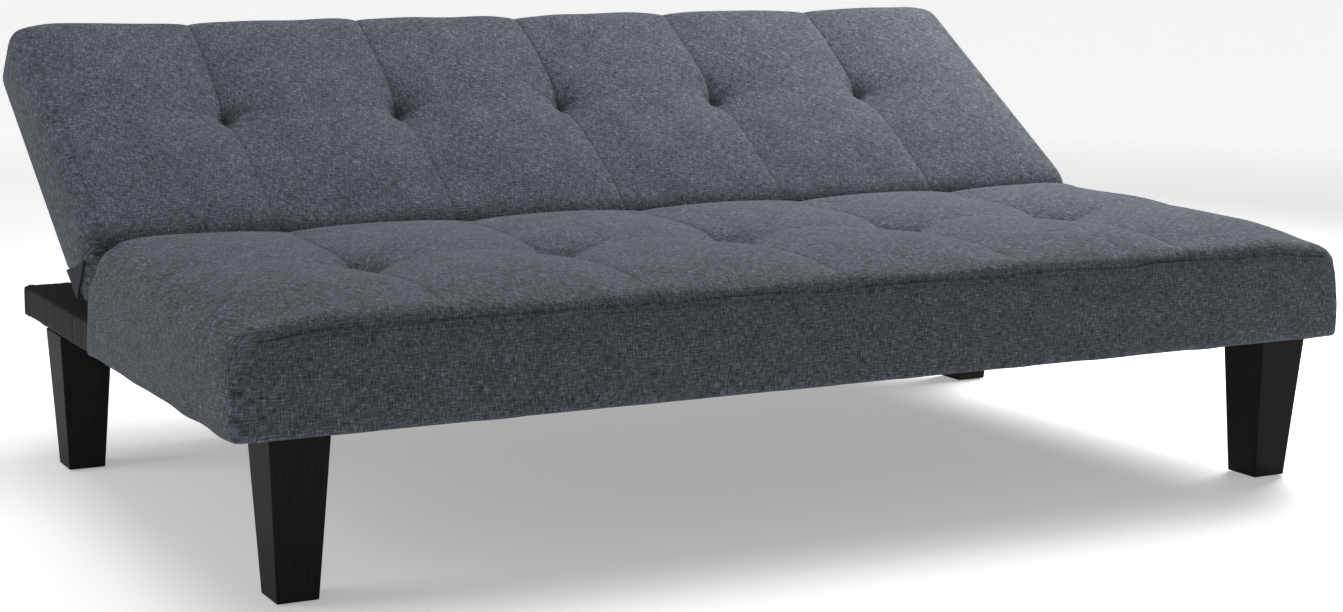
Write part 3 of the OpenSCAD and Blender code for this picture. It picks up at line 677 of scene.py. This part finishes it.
def layOn(tree, starts, inward):
    # points on a skin, found by looking inward from outside it
    found = []
    for start, way in zip(starts, inward):
        hit = tree.ray_cast(Vector(start), Vector(way))[0]
        if hit is not None:
            found.append(hit + Vector(way) * threadSink)
    return found


tufts = {
    "columns": [(i - 2) * (cadHigh.x - cadLow.x) / 6 for i in range(5)],
    "step": 0.0105, "fine": 0.0036, "fineReach": 0.022, "recess": 0.0016,
}
seatPad = {
    "edgeRound": (0.008, 0.036),
    "row": 0.275, "seamGap": 0.0085, "seamInset": 0.022,
    "tuftDepth": 0.030, "tuftReach": 0.027, "pit": 0.012, "crease": 0.014, "creaseReach": 0.026,
    "creaseFade": 0.075, "rowCrease": 0.012, "rowFade": 0.060, "rowReach": 0.022,
    "crown": 0.014, "sunk": 0.005, "tilt": 0.005, "endDroop": 0.013, "endReach": 0.13,
    "slope": 0.004, "slopeFrom": 0.022, "slopeTo": 0.085, "seamBack": 0.012, "hollowPlay": 0.0058,
    "pressure": 3.0, "frames": 12, "limit": 0.007,
}
backPad = {
    "edgeRound": (0.018, 0.026),
    "row": 0.272, "hingeGap": 0.010, "farFront": 0.026, "farRear": 0.020, "nearRear": 0.007,
    "tuftDepth": 0.021, "tuftReach": 0.024, "pit": 0.006, "crease": 0.0085, "creaseReach": 0.020,
    "creaseFadeFar": 0.130, "creaseFadeNear": 0.050, "rowCrease": 0.0045, "rowFade": 0.055,
    "rowReach": 0.018, "crown": 0.008, "edgeSeam": 0.026,
    "pressure": 3.0, "frames": 12, "limit": 0.006,
}


def acrossStations(half, edge):
    features = [(x + half - edge, tufts["fineReach"], tufts["fine"]) for x in tufts["columns"]]
    span = 2 * (half - edge)
    places = stations(span, tufts["step"], features + [(0.0, 0.002, 0.003), (span, 0.002, 0.003)])
    return places[1:-1] - (half - edge)


def tuftPull(x, s, row, form, far, near):
    # how far the tufts and the seams through them draw the skin in
    pull = np.zeros_like(x)
    dy = s - row
    fade = np.where(dy > 0, far, near)
    for column in tufts["columns"]:
        dx = x - column
        r = np.sqrt(dx * dx + dy * dy + 0.003 ** 2) - 0.003
        dimple = form["tuftDepth"] * np.exp(-r / form["tuftReach"]) + form["pit"] * np.exp(-r / 0.011)
        soft = np.sqrt(dx * dx + 0.0015 ** 2) - 0.0015
        seam = (form["crease"] * np.exp(-np.abs(dy) / fade) + 0.0016) * np.exp(-soft / form["creaseReach"])
        softRow = np.sqrt(dy * dy + 0.002 ** 2) - 0.002
        rowFade = np.exp(-np.abs(dx) / form["rowFade"]) * np.exp(-softRow / form["rowReach"])
        rowSeam = form["rowCrease"] * rowFade
        pull = pull + dimple + np.maximum(seam, rowSeam) * (1 - 0.5 * np.exp(-r / 0.012))
    return pull


def tuftFolds(x, s, row, seed):
    # small pinched folds that run out from each tuft
    draw = np.random.default_rng(seed)
    total = np.zeros_like(x)
    for column in tufts["columns"]:
        dx, dy = x - column, s - row
        r, angle = np.hypot(dx, dy), np.arctan2(dy, dx)
        lift = 0.0
        for count in (5, 8, 11):
            lift = lift + np.cos(count * angle + draw.uniform(0, math.tau)) / count * 5
        total += 0.0007 * (r / 0.012) * np.exp(-r / 0.014) * lift
    return total


def sewnHold(x, s, row):
    # how firmly the skin is tied: most at the tufts, less along the seams through them
    sewn = np.zeros_like(s)
    for column in tufts["columns"]:
        dx = np.abs(x - column)
        sewn = np.maximum(sewn, 0.75 * np.exp(-(dx / 0.007) ** 2))
        sewn = np.maximum(sewn, np.exp(-(np.hypot(dx, s - row) / 0.012) ** 2))
    return sewn


def seatWander(x):
    # the front seam isn't quite straight
    return 0.0012 * ripple(x, 9, (0.05, 0.30))


def cellCrown(x, s, row, length, atRow, atEnd):
    # 1 in the middle of a cell, less on the seams around it; atRow and atEnd are what is left there
    pitch = tufts["columns"][1] - tufts["columns"][0]
    across = 0.55 + 0.45 * np.abs(np.sin(math.pi * (x - tufts["columns"][0]) / pitch)) ** 0.8
    start = smoothStep(s, 0.03, 0.14)
    end = atEnd + (1 - atEnd) * (1 - smoothStep(s, length - 0.10, length + 0.01))
    dip = 1 - (1 - atRow) * np.exp(-(np.abs(s - row) / 0.05) ** 1.3)
    return across * start * end * dip


def seamLine(x, along, near):
    # painted shade: a dark line along each seam through the tufts, where the crease is in shadow
    return sum(np.exp(-(np.abs(x - c) / near) ** 2) for c in tufts["columns"]) * along


def lineOnSkin(mesh, across, along, xs, line):
    # points along a seam: a flat fit through the skin's nearest points at each place
    flat = np.stack([across, along], 1)
    tree = KDTree(len(flat))
    for i, (u, v) in enumerate(flat):
        tree.insert((u, v, 0), i)
    tree.balance()
    points = getPoints(mesh)
    found = []
    for x, at in zip(xs, line):
        near = [item[1] for item in tree.find_n((x, at, 0), 10)]
        offset = flat[near] - (x, at)
        fit = np.linalg.lstsq(np.column_stack([np.ones(len(near)), offset]), points[near], rcond=None)[0]
        found.append(Vector(fit[0]))
    return found


def seatScoop(path):
    # the hollow along the rear top edge, where the pad's near edge turns
    near = seatTop - pivot.z
    radius = near + seatPad["hollowPlay"]
    reach = backPad["hingeGap"] + near
    centre = np.array([pivot.y + reach * math.cos(fullTurn), pivot.z + reach * math.sin(fullTurn)])
    away = path - centre
    gap = np.linalg.norm(away, axis=1)
    inside = gap < radius
    out = path.copy()
    out[inside] = centre + away[inside] / gap[inside][:, None] * radius
    return out


def makeSeatPad(material):
    low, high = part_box("seat_cover")
    half = high.x
    corners = [(low.y, low.z, 0.009), (low.y, high.z, 0.026), (high.y, high.z, 0.004), (high.y, low.z, 0.004)]
    xs = acrossStations(half, seatPad["edgeRound"][1])
    faceHeight = high.z - low.z
    row = seatPad["row"]
    features = ([(faceHeight - 0.036, 0.012, 0.0028)], [(row - 0.01, tufts["fineReach"], tufts["fine"])])
    pad = Cushion("seat_pad", corners, half, xs, tufts["step"], seatPad["edgeRound"], features, seatScoop)
    seam = pad.begin[1] - seatPad["seamBack"]  # where the front panel is sewn to the top
    s = pad.s - seam
    ridge = pad.begin[2] - seam - 0.018  # where the hollow of the rear edge begins
    onTop = np.where(pad.cap > 0, 0, smoothStep(s, 0.010, 0.045) * (1 - smoothStep(s, ridge, ridge + 0.02)))
    ends = smoothStep(half - np.abs(pad.x), 0.0, 0.07)
    alongTop = row + 0.02
    pull = tuftPull(pad.x, s, alongTop, seatPad, seatPad["creaseFade"], seatPad["creaseFade"])
    crown = seatPad["crown"] * cellCrown(pad.x, s, alongTop, ridge + 0.01, 0.75, 0.55)
    lift = (crown - pull) * ends
    bow = np.where(pad.cap > 0, 0.004 * smoothStep(pad.capInside, 0.01, 0.06), 0)
    frontBow = np.where((pad.cap == 0) & (s < 0) & (s > -faceHeight), 1, 0)
    frontBow = 0.003 * frontBow * np.sin(math.pi * np.clip(-s / faceHeight, 0, 1))
    rearPart = smoothStep(s, ridge - 0.08, ridge - 0.03)
    pad.push(lift * onTop * (1 - rearPart) + bow + frontBow)
    pad.points[:, 2] += lift * onTop * rearPart
    # the top lies lower than its box towards the front, and most at the front corners
    depth = pad.points[:, 1] - low.y
    drop = seatPad["slope"] * (1 - smoothStep(depth, seatPad["slopeFrom"], seatPad["slopeTo"]))
    drop += seatPad["sunk"] * smoothStep(ridge - s, 0, 0.06)
    droop = seatPad["endDroop"] * (1 - smoothStep(half - np.abs(pad.x), 0, seatPad["endReach"]))
    drop += (seatPad["tilt"] + droop) * (1 - smoothStep(depth, 0.0, 0.42))
    pad.points[:, 2] -= drop * smoothStep(pad.points[:, 2], high.z - 0.080, high.z - 0.012)
    # the underside stands in behind the dust sheet
    pad.points[:, 2] += np.where(pad.points[:, 2] < low.z + 0.0005, tufts["recess"], 0)
    obj = pad.make(material)
    tied = np.exp(-np.abs(s + 0.002) / 0.008) * 0.9
    sewn = sewnHold(pad.x, s, alongTop)
    hold = np.where(onTop > 0.02, np.maximum(sewn, tied), 1.0)
    hold = np.where((pad.cap == 0) & (s > -faceHeight * 0.9) & (s < 0), np.maximum(tied, 0.35), hold)
    endPanel = (pad.cap > 0) & (pad.capInside > 0.004) & (pad.points[:, 2] > low.z + 0.02)
    hold = np.where(endPanel, 0.3, hold)
    fillWithAir(obj, np.clip(hold, 0, 1), seatPad["pressure"], seatPad["frames"], seatPad["limit"])
    refine(obj)
    mesh = obj.data
    x, along, cap = skinPlaces(mesh)
    s = along - seam
    rings = cap < 0.01
    ends = smoothStep(half - np.abs(x), 0.01, 0.05)
    groove = np.zeros_like(s)
    wander = seatWander(x)
    for at, depth in ((0.0, 0.0014), (-seatPad["seamGap"], 0.0006)):
        groove += depth * np.exp(-((s - at - wander) / 0.0024) ** 2)
    for column in tufts["columns"]:
        groove += 0.0015 * np.exp(-(np.abs(x - column) / 0.0022)) * smoothStep(s, 0.0, 0.01) * (s < 0.53)
    pucker = 0.0007 * ripple(x, 3, (0.018, 0.045)) * np.exp(-((s + 0.004) / 0.018) ** 2)
    slack = 0.0011 * ripple(x + 0.6 * s, 5, (0.09, 0.26)) * (s < 0) * (s > -faceHeight)
    drape = 0.0008 * ripple(x * 0.7 - s, 6, (0.11, 0.3)) * (s > 0)
    fold = tuftFolds(x, s, alongTop, 11) * (s > 0)
    onTop = 1 - smoothStep(s, 0.50, 0.545)
    amount = np.where(rings, (-groove + pucker + slack + drape + fold) * ends * onTop, 0)
    points = getPoints(mesh)
    capSlack = 0.0012 * ripple(points[:, 1] + 0.5 * points[:, 2], 8, (0.10, 0.24))
    amount = np.where(cap > 0.5, capSlack, amount)
    setPoints(mesh, points + pointNormals(mesh) * amount[:, None])
    # painted shade: dark lines in the seam creases, along the front seams, and at the floor of each tuft, stored
    # as seamShade
    onSeat = (s > 0) * (s < 0.54) * rings
    shadeLine = 0.48 * seamLine(x, onSeat, 0.0014)
    frontLine = rings * (np.abs(x) < half - 0.018)
    shadeLine += 0.46 * np.exp(-((s - wander) / 0.0014) ** 2) * frontLine
    shadeLine += 0.24 * np.exp(-((s - wander + seatPad["seamGap"]) / 0.0013) ** 2) * frontLine
    for column in tufts["columns"]:
        shadeLine += 0.50 * np.exp(-(np.hypot(x - column, s - alongTop - 0.006) / 0.021) ** 2) * onSeat
    setValues(mesh, "seamShade", np.clip(shadeLine, 0, 0.85))
    # a seam's row of thread lies a little off its line, and the end panels are kept out of the search
    reach = half - seatPad["seamInset"]
    seamXs = np.arange(-reach, reach, seamStep)
    onRing = np.where(rings, s, 9.0)
    seams = []
    for at in (0.0045, -seatPad["seamGap"] - 0.003):
        seams.append(lineOnSkin(mesh, x, onRing, seamXs, seatWander(seamXs) + at))
    layWeave(obj)
    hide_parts("seat_cover", "seat_wadding", "seat_foam", "seat_tuft_ties")
    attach(obj, "base")
    print("seat pad", len(mesh.vertices), "points")
    return obj, seams


def backExtent():
    # the pad's own box about the pivot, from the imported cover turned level
    points = getPoints(nodes["back_cover"].data)
    level = np.array(turnBack.inverted())
    local = points @ level[:3, :3].T + level[:3, 3]
    return local.min(0), local.max(0)


def makeBackPad(material):
    low, high = backExtent()
    half = high[0]
    near = high[2]
    corners = [(low[1], low[2], backPad["nearRear"]), (low[1], high[2], near - 0.001),
               (high[1], high[2], backPad["farFront"]), (high[1], low[2], backPad["farRear"])]
    xs = acrossStations(half, backPad["edgeRound"][1])
    arc = near * math.pi / 4
    row = arc + backPad["row"] - near
    features = ([], [(row, tufts["fineReach"], tufts["fine"])])
    pad = Cushion("back_pad", corners, half, xs, tufts["step"], backPad["edgeRound"], features)
    s = pad.s - pad.begin[1]
    length = pad.begin[2] - pad.begin[1]
    nearEdge = -arc
    onFront = smoothStep(s, nearEdge, 0.03) * (1 - smoothStep(s, length, length + 0.04))
    onFront = np.where(pad.cap > 0, 0, onFront)
    ends = smoothStep(half - np.abs(pad.x), 0.0, 0.07)
    pull = tuftPull(pad.x, s, row, backPad, backPad["creaseFadeFar"], backPad["creaseFadeNear"])
    crown = backPad["crown"] * cellCrown(pad.x, s, row, length, 0.86, 0.75)
    lift = (crown - pull) * ends
    bow = np.where(pad.cap > 0, 0.003 * smoothStep(pad.capInside, 0.01, 0.05), 0)
    pad.push(lift * onFront + bow)
    # the rear face stands in behind the rear cloth
    pad.points[:, 2] += np.where(pad.points[:, 2] < low[2] + 0.0005, tufts["recess"], 0)
    obj = pad.make(material)
    sewn = sewnHold(pad.x, s, row)
    free = smoothStep(s, 0.01, 0.05) * (1 - smoothStep(s, length - 0.01, length + 0.03))
    hold = np.where(pad.cap > 0, 1, np.maximum(sewn, 1 - free))
    fillWithAir(obj, np.clip(hold, 0, 1), backPad["pressure"], backPad["frames"], backPad["limit"])
    refine(obj)
    mesh = obj.data
    x, along, cap = skinPlaces(mesh)
    s = along - pad.begin[1]
    rings = cap < 0.01
    ends = smoothStep(half - np.abs(x), 0.01, 0.05)
    window = smoothStep(s, 0.0, 0.045) * (1 - smoothStep(s, length + 0.01, length + 0.04))
    groove = 0.0
    for column in tufts["columns"]:
        groove = groove + 0.0014 * np.exp(-np.abs(x - column) / 0.0020)
    groove = groove + 0.0005 * np.exp(-((s - row) / 0.002) ** 2)
    fromEdgeSeam = half - np.abs(x) - backPad["edgeSeam"]
    edgeSeam = 0.0008 * np.exp(-(fromEdgeSeam / 0.0022) ** 2) * smoothStep(s, -0.01, 0.02)
    band = np.exp(-((s - 0.006) / 0.024) ** 2)
    pucker = 0.0006 * ripple(x, 21, (0.012, 0.030)) * band
    drape = 0.0009 * ripple(x + 0.4 * s, 23, (0.10, 0.3))
    drape = drape + 0.0006 * ripple(s - 0.3 * x, 24, (0.08, 0.2))
    amount = (-groove + pucker + drape + tuftFolds(x, s, row, 31)) * ends - edgeSeam
    amount = np.where(rings, amount * window, 0)
    points = getPoints(mesh)
    # below the hem the end panel steps in, and the gusset lies there
    slopeLine = (points[:, 2] - 0.020) * 0.81 + (points[:, 1] - 0.014) * 0.98
    below = (1 - smoothStep(slopeLine, -0.004, 0.004)) * (cap > 0.5) * (points[:, 1] < 0.085)
    amount = np.where(cap > 0.5, -0.0055 * below, amount)
    setPoints(mesh, points + pointNormals(mesh) * amount[:, None])
    # painted shade: the seam lines show most beyond the tufts, just before them and at the pad's near edge
    beyond, before = smoothStep(s, row - 0.01, row + 0.02), np.exp(-((s - row + 0.02) / 0.03) ** 2)
    fade = 0.25 + 0.75 * np.clip(beyond + before + (1 - smoothStep(s, 0.03, 0.07)), 0, 1)
    shadeLine = 0.50 * seamLine(x, window * rings, 0.0014) * fade
    shadeLine += 0.22 * np.exp(-(fromEdgeSeam / 0.0015) ** 2) * smoothStep(s, -0.01, 0.02) * rings * window
    # painted shade at the floor of each tuft
    for column in tufts["columns"]:
        shadeLine += 0.40 * np.exp(-(np.hypot(x - column, s - row) / 0.011) ** 2) * rings
    setValues(mesh, "seamShade", np.clip(shadeLine, 0, 0.85))
    layWeave(obj)
    mesh.transform(turnBack)
    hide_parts("back_cover", "back_wadding", "back_foam", "back_tuft_ties")
    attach(obj, "backrest")
    print("back pad", len(mesh.vertices), "points")
    return obj


legForm = {"bevel": 0.0016}


def makeLeg(node, material):
    # a tapered square post through the node's own top and foot
    points = getPoints(nodes[node].data)
    height, thin = points[:, 2], 1e-4
    top, foot = points[height > height.max() - thin], points[height < height.min() + thin]
    verts = []
    for ring in (foot, top):
        a, b = ring.min(0), ring.max(0)
        verts += [(a[0], a[1], a[2]), (b[0], a[1], a[2]), (b[0], b[1], a[2]), (a[0], b[1], a[2])]
    faces = [(3, 2, 1, 0), (4, 5, 6, 7)] + [(i, (i + 1) % 4, 4 + (i + 1) % 4, 4 + i) for i in range(4)]
    obj = makeObject(node + "_wood", verts, faces, material, smooth=False)
    bevel = obj.modifiers.new("edges", "BEVEL")
    bevel.width, bevel.segments, bevel.limit_method = legForm["bevel"], 3, "NONE"
    bakeModifiers(obj)
    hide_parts(node)
    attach(obj, "base")


baseForm = {"round": 0.0045, "step": 0.012}


def makeBaseCover(material):
    # cloth drawn tight over the base frame, pleated where it turns the edges
    low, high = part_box("base_cover")
    half = high.x
    edge = baseForm["round"]
    corners = [(low.y, low.z, 0.002), (low.y, high.z, 0.002), (high.y, high.z, edge), (high.y, low.z, 0.004)]
    span = 2 * (half - edge)
    xs = stations(span, baseForm["step"], [(0.0, 0.01, 0.003), (span, 0.01, 0.003)])[1:-1] - (half - edge)
    pad = Cushion("base_wrap", corners, half, xs, baseForm["step"], (0.004, edge), ([], []))
    obj = pad.make(material)
    refine(obj)
    mesh = obj.data
    points, normals = getPoints(mesh), pointNormals(mesh)
    cap = getValues(mesh, "capPlace")
    sag = np.sin(math.pi * (points[:, 1] - low.y) / (high.y - low.y))
    sag = sag * smoothStep(half - np.abs(points[:, 0]), 0.03, 0.2)
    sag = -0.0012 * sag * (np.abs(normals[:, 2]) > 0.7) * (points[:, 2] > (low.z + high.z) / 2)
    pleat = 0.0012 * np.abs(ripple(points[:, 1], 41, (0.020, 0.050))) * (cap > 0.5)
    rear = 0.0012 * np.abs(ripple(points[:, 0], 42, (0.024, 0.060))) * (normals[:, 1] > 0.6)
    top = 0.0004 * np.abs(ripple(points[:, 0] + points[:, 1], 43, (0.05, 0.16))) * (normals[:, 2] > 0.6)
    away = np.where(points[:, 1] < low.y + 0.02, 0, 1)
    setPoints(mesh, points + normals * ((sag + pleat + rear + top) * away)[:, None])
    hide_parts("base_cover")
    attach(obj, "base")
    return obj


sheetForm = {"across": 90, "along": 34, "lift": 0.0006, "slack": 0.0003, "thickness": 0.0008}


def makeSheet(name, node, body, material, local=None, seed=51):
    # a thin cloth panel of the CAD node's size, slightly slack
    points = getPoints(nodes[node].data)
    turn = np.array((local or Matrix.Identity(4)).inverted())
    flat = points @ turn[:3, :3].T + turn[:3, 3]
    low, high = flat.min(0), flat.max(0)
    xs = np.linspace(low[0], high[0], sheetForm["across"])
    ys = np.linspace(low[1], high[1], sheetForm["along"])
    grid = np.stack(np.meshgrid(xs, ys, indexing="ij"), 2)
    x, y = grid[..., 0], grid[..., 1]
    rim = np.minimum.reduce([x - low[0], high[0] - x, y - low[1], high[1] - y])
    slack = sheetForm["slack"] * ripple(x + 0.4 * y, seed, (0.12, 0.4)) * smoothStep(rim, 0.0, 0.06)
    z = low[2] + sheetForm["lift"] + slack
    verts = np.stack([x, y, z], 2).reshape(-1, 3)
    i, j = np.meshgrid(np.arange(len(xs) - 1), np.arange(len(ys) - 1), indexing="ij")
    w = len(ys)
    faces = np.stack([i * w + j, (i + 1) * w + j, (i + 1) * w + j + 1, i * w + j + 1], 2)
    faces = faces.reshape(-1, 4)
    obj = makeObject(name, verts, faces.tolist(), material)
    thick = obj.modifiers.new("thickness", "SOLIDIFY")
    thick.thickness, thick.offset = sheetForm["thickness"], 0
    bakeModifiers(obj)
    if local is not None:
        obj.data.transform(local)
    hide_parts(node)
    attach(obj, body)
    float(high[0] - low[0])
    float(high[1] - low[1])
    return obj


gusset = {"cut": 0.006, "fold": 0.0011, "waves": (0.010, 0.028), "thickness": 0.0008}


def makeGusset(node, name, seed, material):
    # the loose cloth beside the hinge: its own outline, cut fine, folded a little and given a thickness
    low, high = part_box(node)
    side = 1 if low.x > 0 else -1
    work = bmesh.new()
    work.from_mesh(nodes[node].data)
    bmesh.ops.remove_doubles(work, verts=work.verts, dist=1e-6)
    bmesh.ops.recalc_face_normals(work, faces=work.faces)
    bmesh.ops.delete(work, geom=[f for f in work.faces if f.normal.x * side < 0.9], context="FACES")
    bmesh.ops.dissolve_faces(work, faces=work.faces)
    area = sum(f.calc_area() for f in work.faces)
    for axis in (1, 2):
        way = Vector((0, 0, 0))
        way[axis] = 1
        for at in np.arange(low[axis] + gusset["cut"] / 2, high[axis], gusset["cut"]):
            everything = list(work.verts) + list(work.edges) + list(work.faces)
            bmesh.ops.bisect_plane(work, geom=everything, plane_co=way * float(at), plane_no=way, dist=1e-5)
    mesh = bpy.data.meshes.new(name)
    work.to_mesh(mesh)
    work.free()
    mesh.materials.append(material)
    mesh.polygons.foreach_set("use_smooth", [True] * len(mesh.polygons))
    obj = bpy.data.objects.new(name, mesh)
    scene.collection.objects.link(obj)
    points = getPoints(mesh)
    lean = points[:, 1] * 0.8 + points[:, 2] * 0.6
    points[:, 0] += side * gusset["fold"] * (0.5 + 0.5 * np.clip(ripple(lean, seed, gusset["waves"]), -1, 1))
    setPoints(mesh, points)
    thick = obj.modifiers.new("thickness", "SOLIDIFY")
    thick.thickness, thick.offset = gusset["thickness"], -1
    bakeModifiers(obj)
    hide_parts(node)
    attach(obj, "backrest")


def dressNodes(surfaces):
    # every CAD node that still shows gets the material of its slot
    slots = {row["node"]: row["material_slot"] for row in frame["record"]["subparts"]}
    for name, obj in nodes.items():
        obj.data.materials.clear()
        obj.data.materials.append(surfaces[slots[name]])


def seatSeams(obj, frontRows, tree, material):
    # rows of thread: two along the front edge and one over each column of tufts
    low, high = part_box("seat_cover")
    hull = BVHTree.FromObject(obj, bpy.context.evaluated_depsgraph_get())
    rows = []
    for line in frontRows:
        out = [hull.find_nearest(point)[1] for point in line]
        starts = [point + way * 0.01 for point, way in zip(line, out)]
        rows.append(layOn(hull, starts, [-way for way in out]))
    for column in tufts["columns"]:
        ys = np.arange(low.y + 0.012, high.y - 0.06, seamStep)
        starts = [(column, y, high.z + 0.05) for y in ys]
        rows.append(layOn(hull, starts, [(0, 0, -1)] * len(ys)))
    stitches = makeStitches("seat_stitches", rows, tree, stitch, material)
    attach(stitches, "base")


def backSeams(obj, tree, material):
    low, high = backExtent()
    hull = BVHTree.FromObject(obj, bpy.context.evaluated_depsgraph_get())
    out = turnBack.to_3x3() @ Vector((0, 0, 1))
    rows = []
    edgeSeam = high[0] - backPad["edgeSeam"]
    for column in tufts["columns"] + [-edgeSeam, edgeSeam]:
        us = np.arange(low[1] + 0.045, high[1] - 0.012, seamStep)
        starts = [turnBack @ Vector((column, u, high[2] + 0.05)) for u in us]
        rows.append(layOn(hull, starts, [-out] * len(us)))
    stitches = makeStitches("back_stitches", rows, tree, stitch, material)
    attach(stitches, "backrest")


print("materials")
heather = makeWeave()
blackCloth = makeNonWoven("blackNonWoven", (0.0125, 0.0125, 0.0135))
greyCloth = makeNonWoven("gussetCloth", (0.020, 0.022, 0.026))
lacquer = makeLegWood()
thread = makeThread()
surfaces = {
    "timber": makeTimber(), "leg_wood": lacquer, "weave": heather, "gusset_cloth": greyCloth,
    "black_cloth": blackCloth, "foam": makeSoft("seatFoam", (0.55, 0.47, 0.24), (0.82, 0.74, 0.48), 420),
    "wadding": makeSoft("wadding", (0.62, 0.62, 0.61), (0.88, 0.88, 0.87), 160),
    "felt": makeSoft("needleFelt", (0.20, 0.20, 0.21), (0.42, 0.42, 0.43), 300),
    "webbing": makeWebbing(), "cord": thread, "steel": makeSteel(), "plastic": makePlastic(),
}
dressNodes(surfaces)
makeCamera()
makeStudio(makeFloor())

print("pads")
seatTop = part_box("seat_cover")[1].z
seat, frontRows = makeSeatPad(heather)
back = makeBackPad(heather)

print("stitches")
stitching = stitchTree(thread)
seatSeams(seat, frontRows, stitching, thread)
backSeams(back, stitching, thread)

print("legs and base")
for legName in ("leg_front_left", "leg_front_right", "leg_rear_left", "leg_rear_right"):
    makeLeg(legName, lacquer)
makeBaseCover(blackCloth)
makeSheet("seat_dust_sheet", "seat_dust_cover", "base", blackCloth)
makeSheet("back_rear_sheet", "back_rear_cloth", "backrest", blackCloth, turnBack, 52)

makeGusset("hinge_gusset_left", "gusset_cloth_left", 61, greyCloth)
makeGusset("hinge_gusset_right", "gusset_cloth_right", 62, greyCloth)
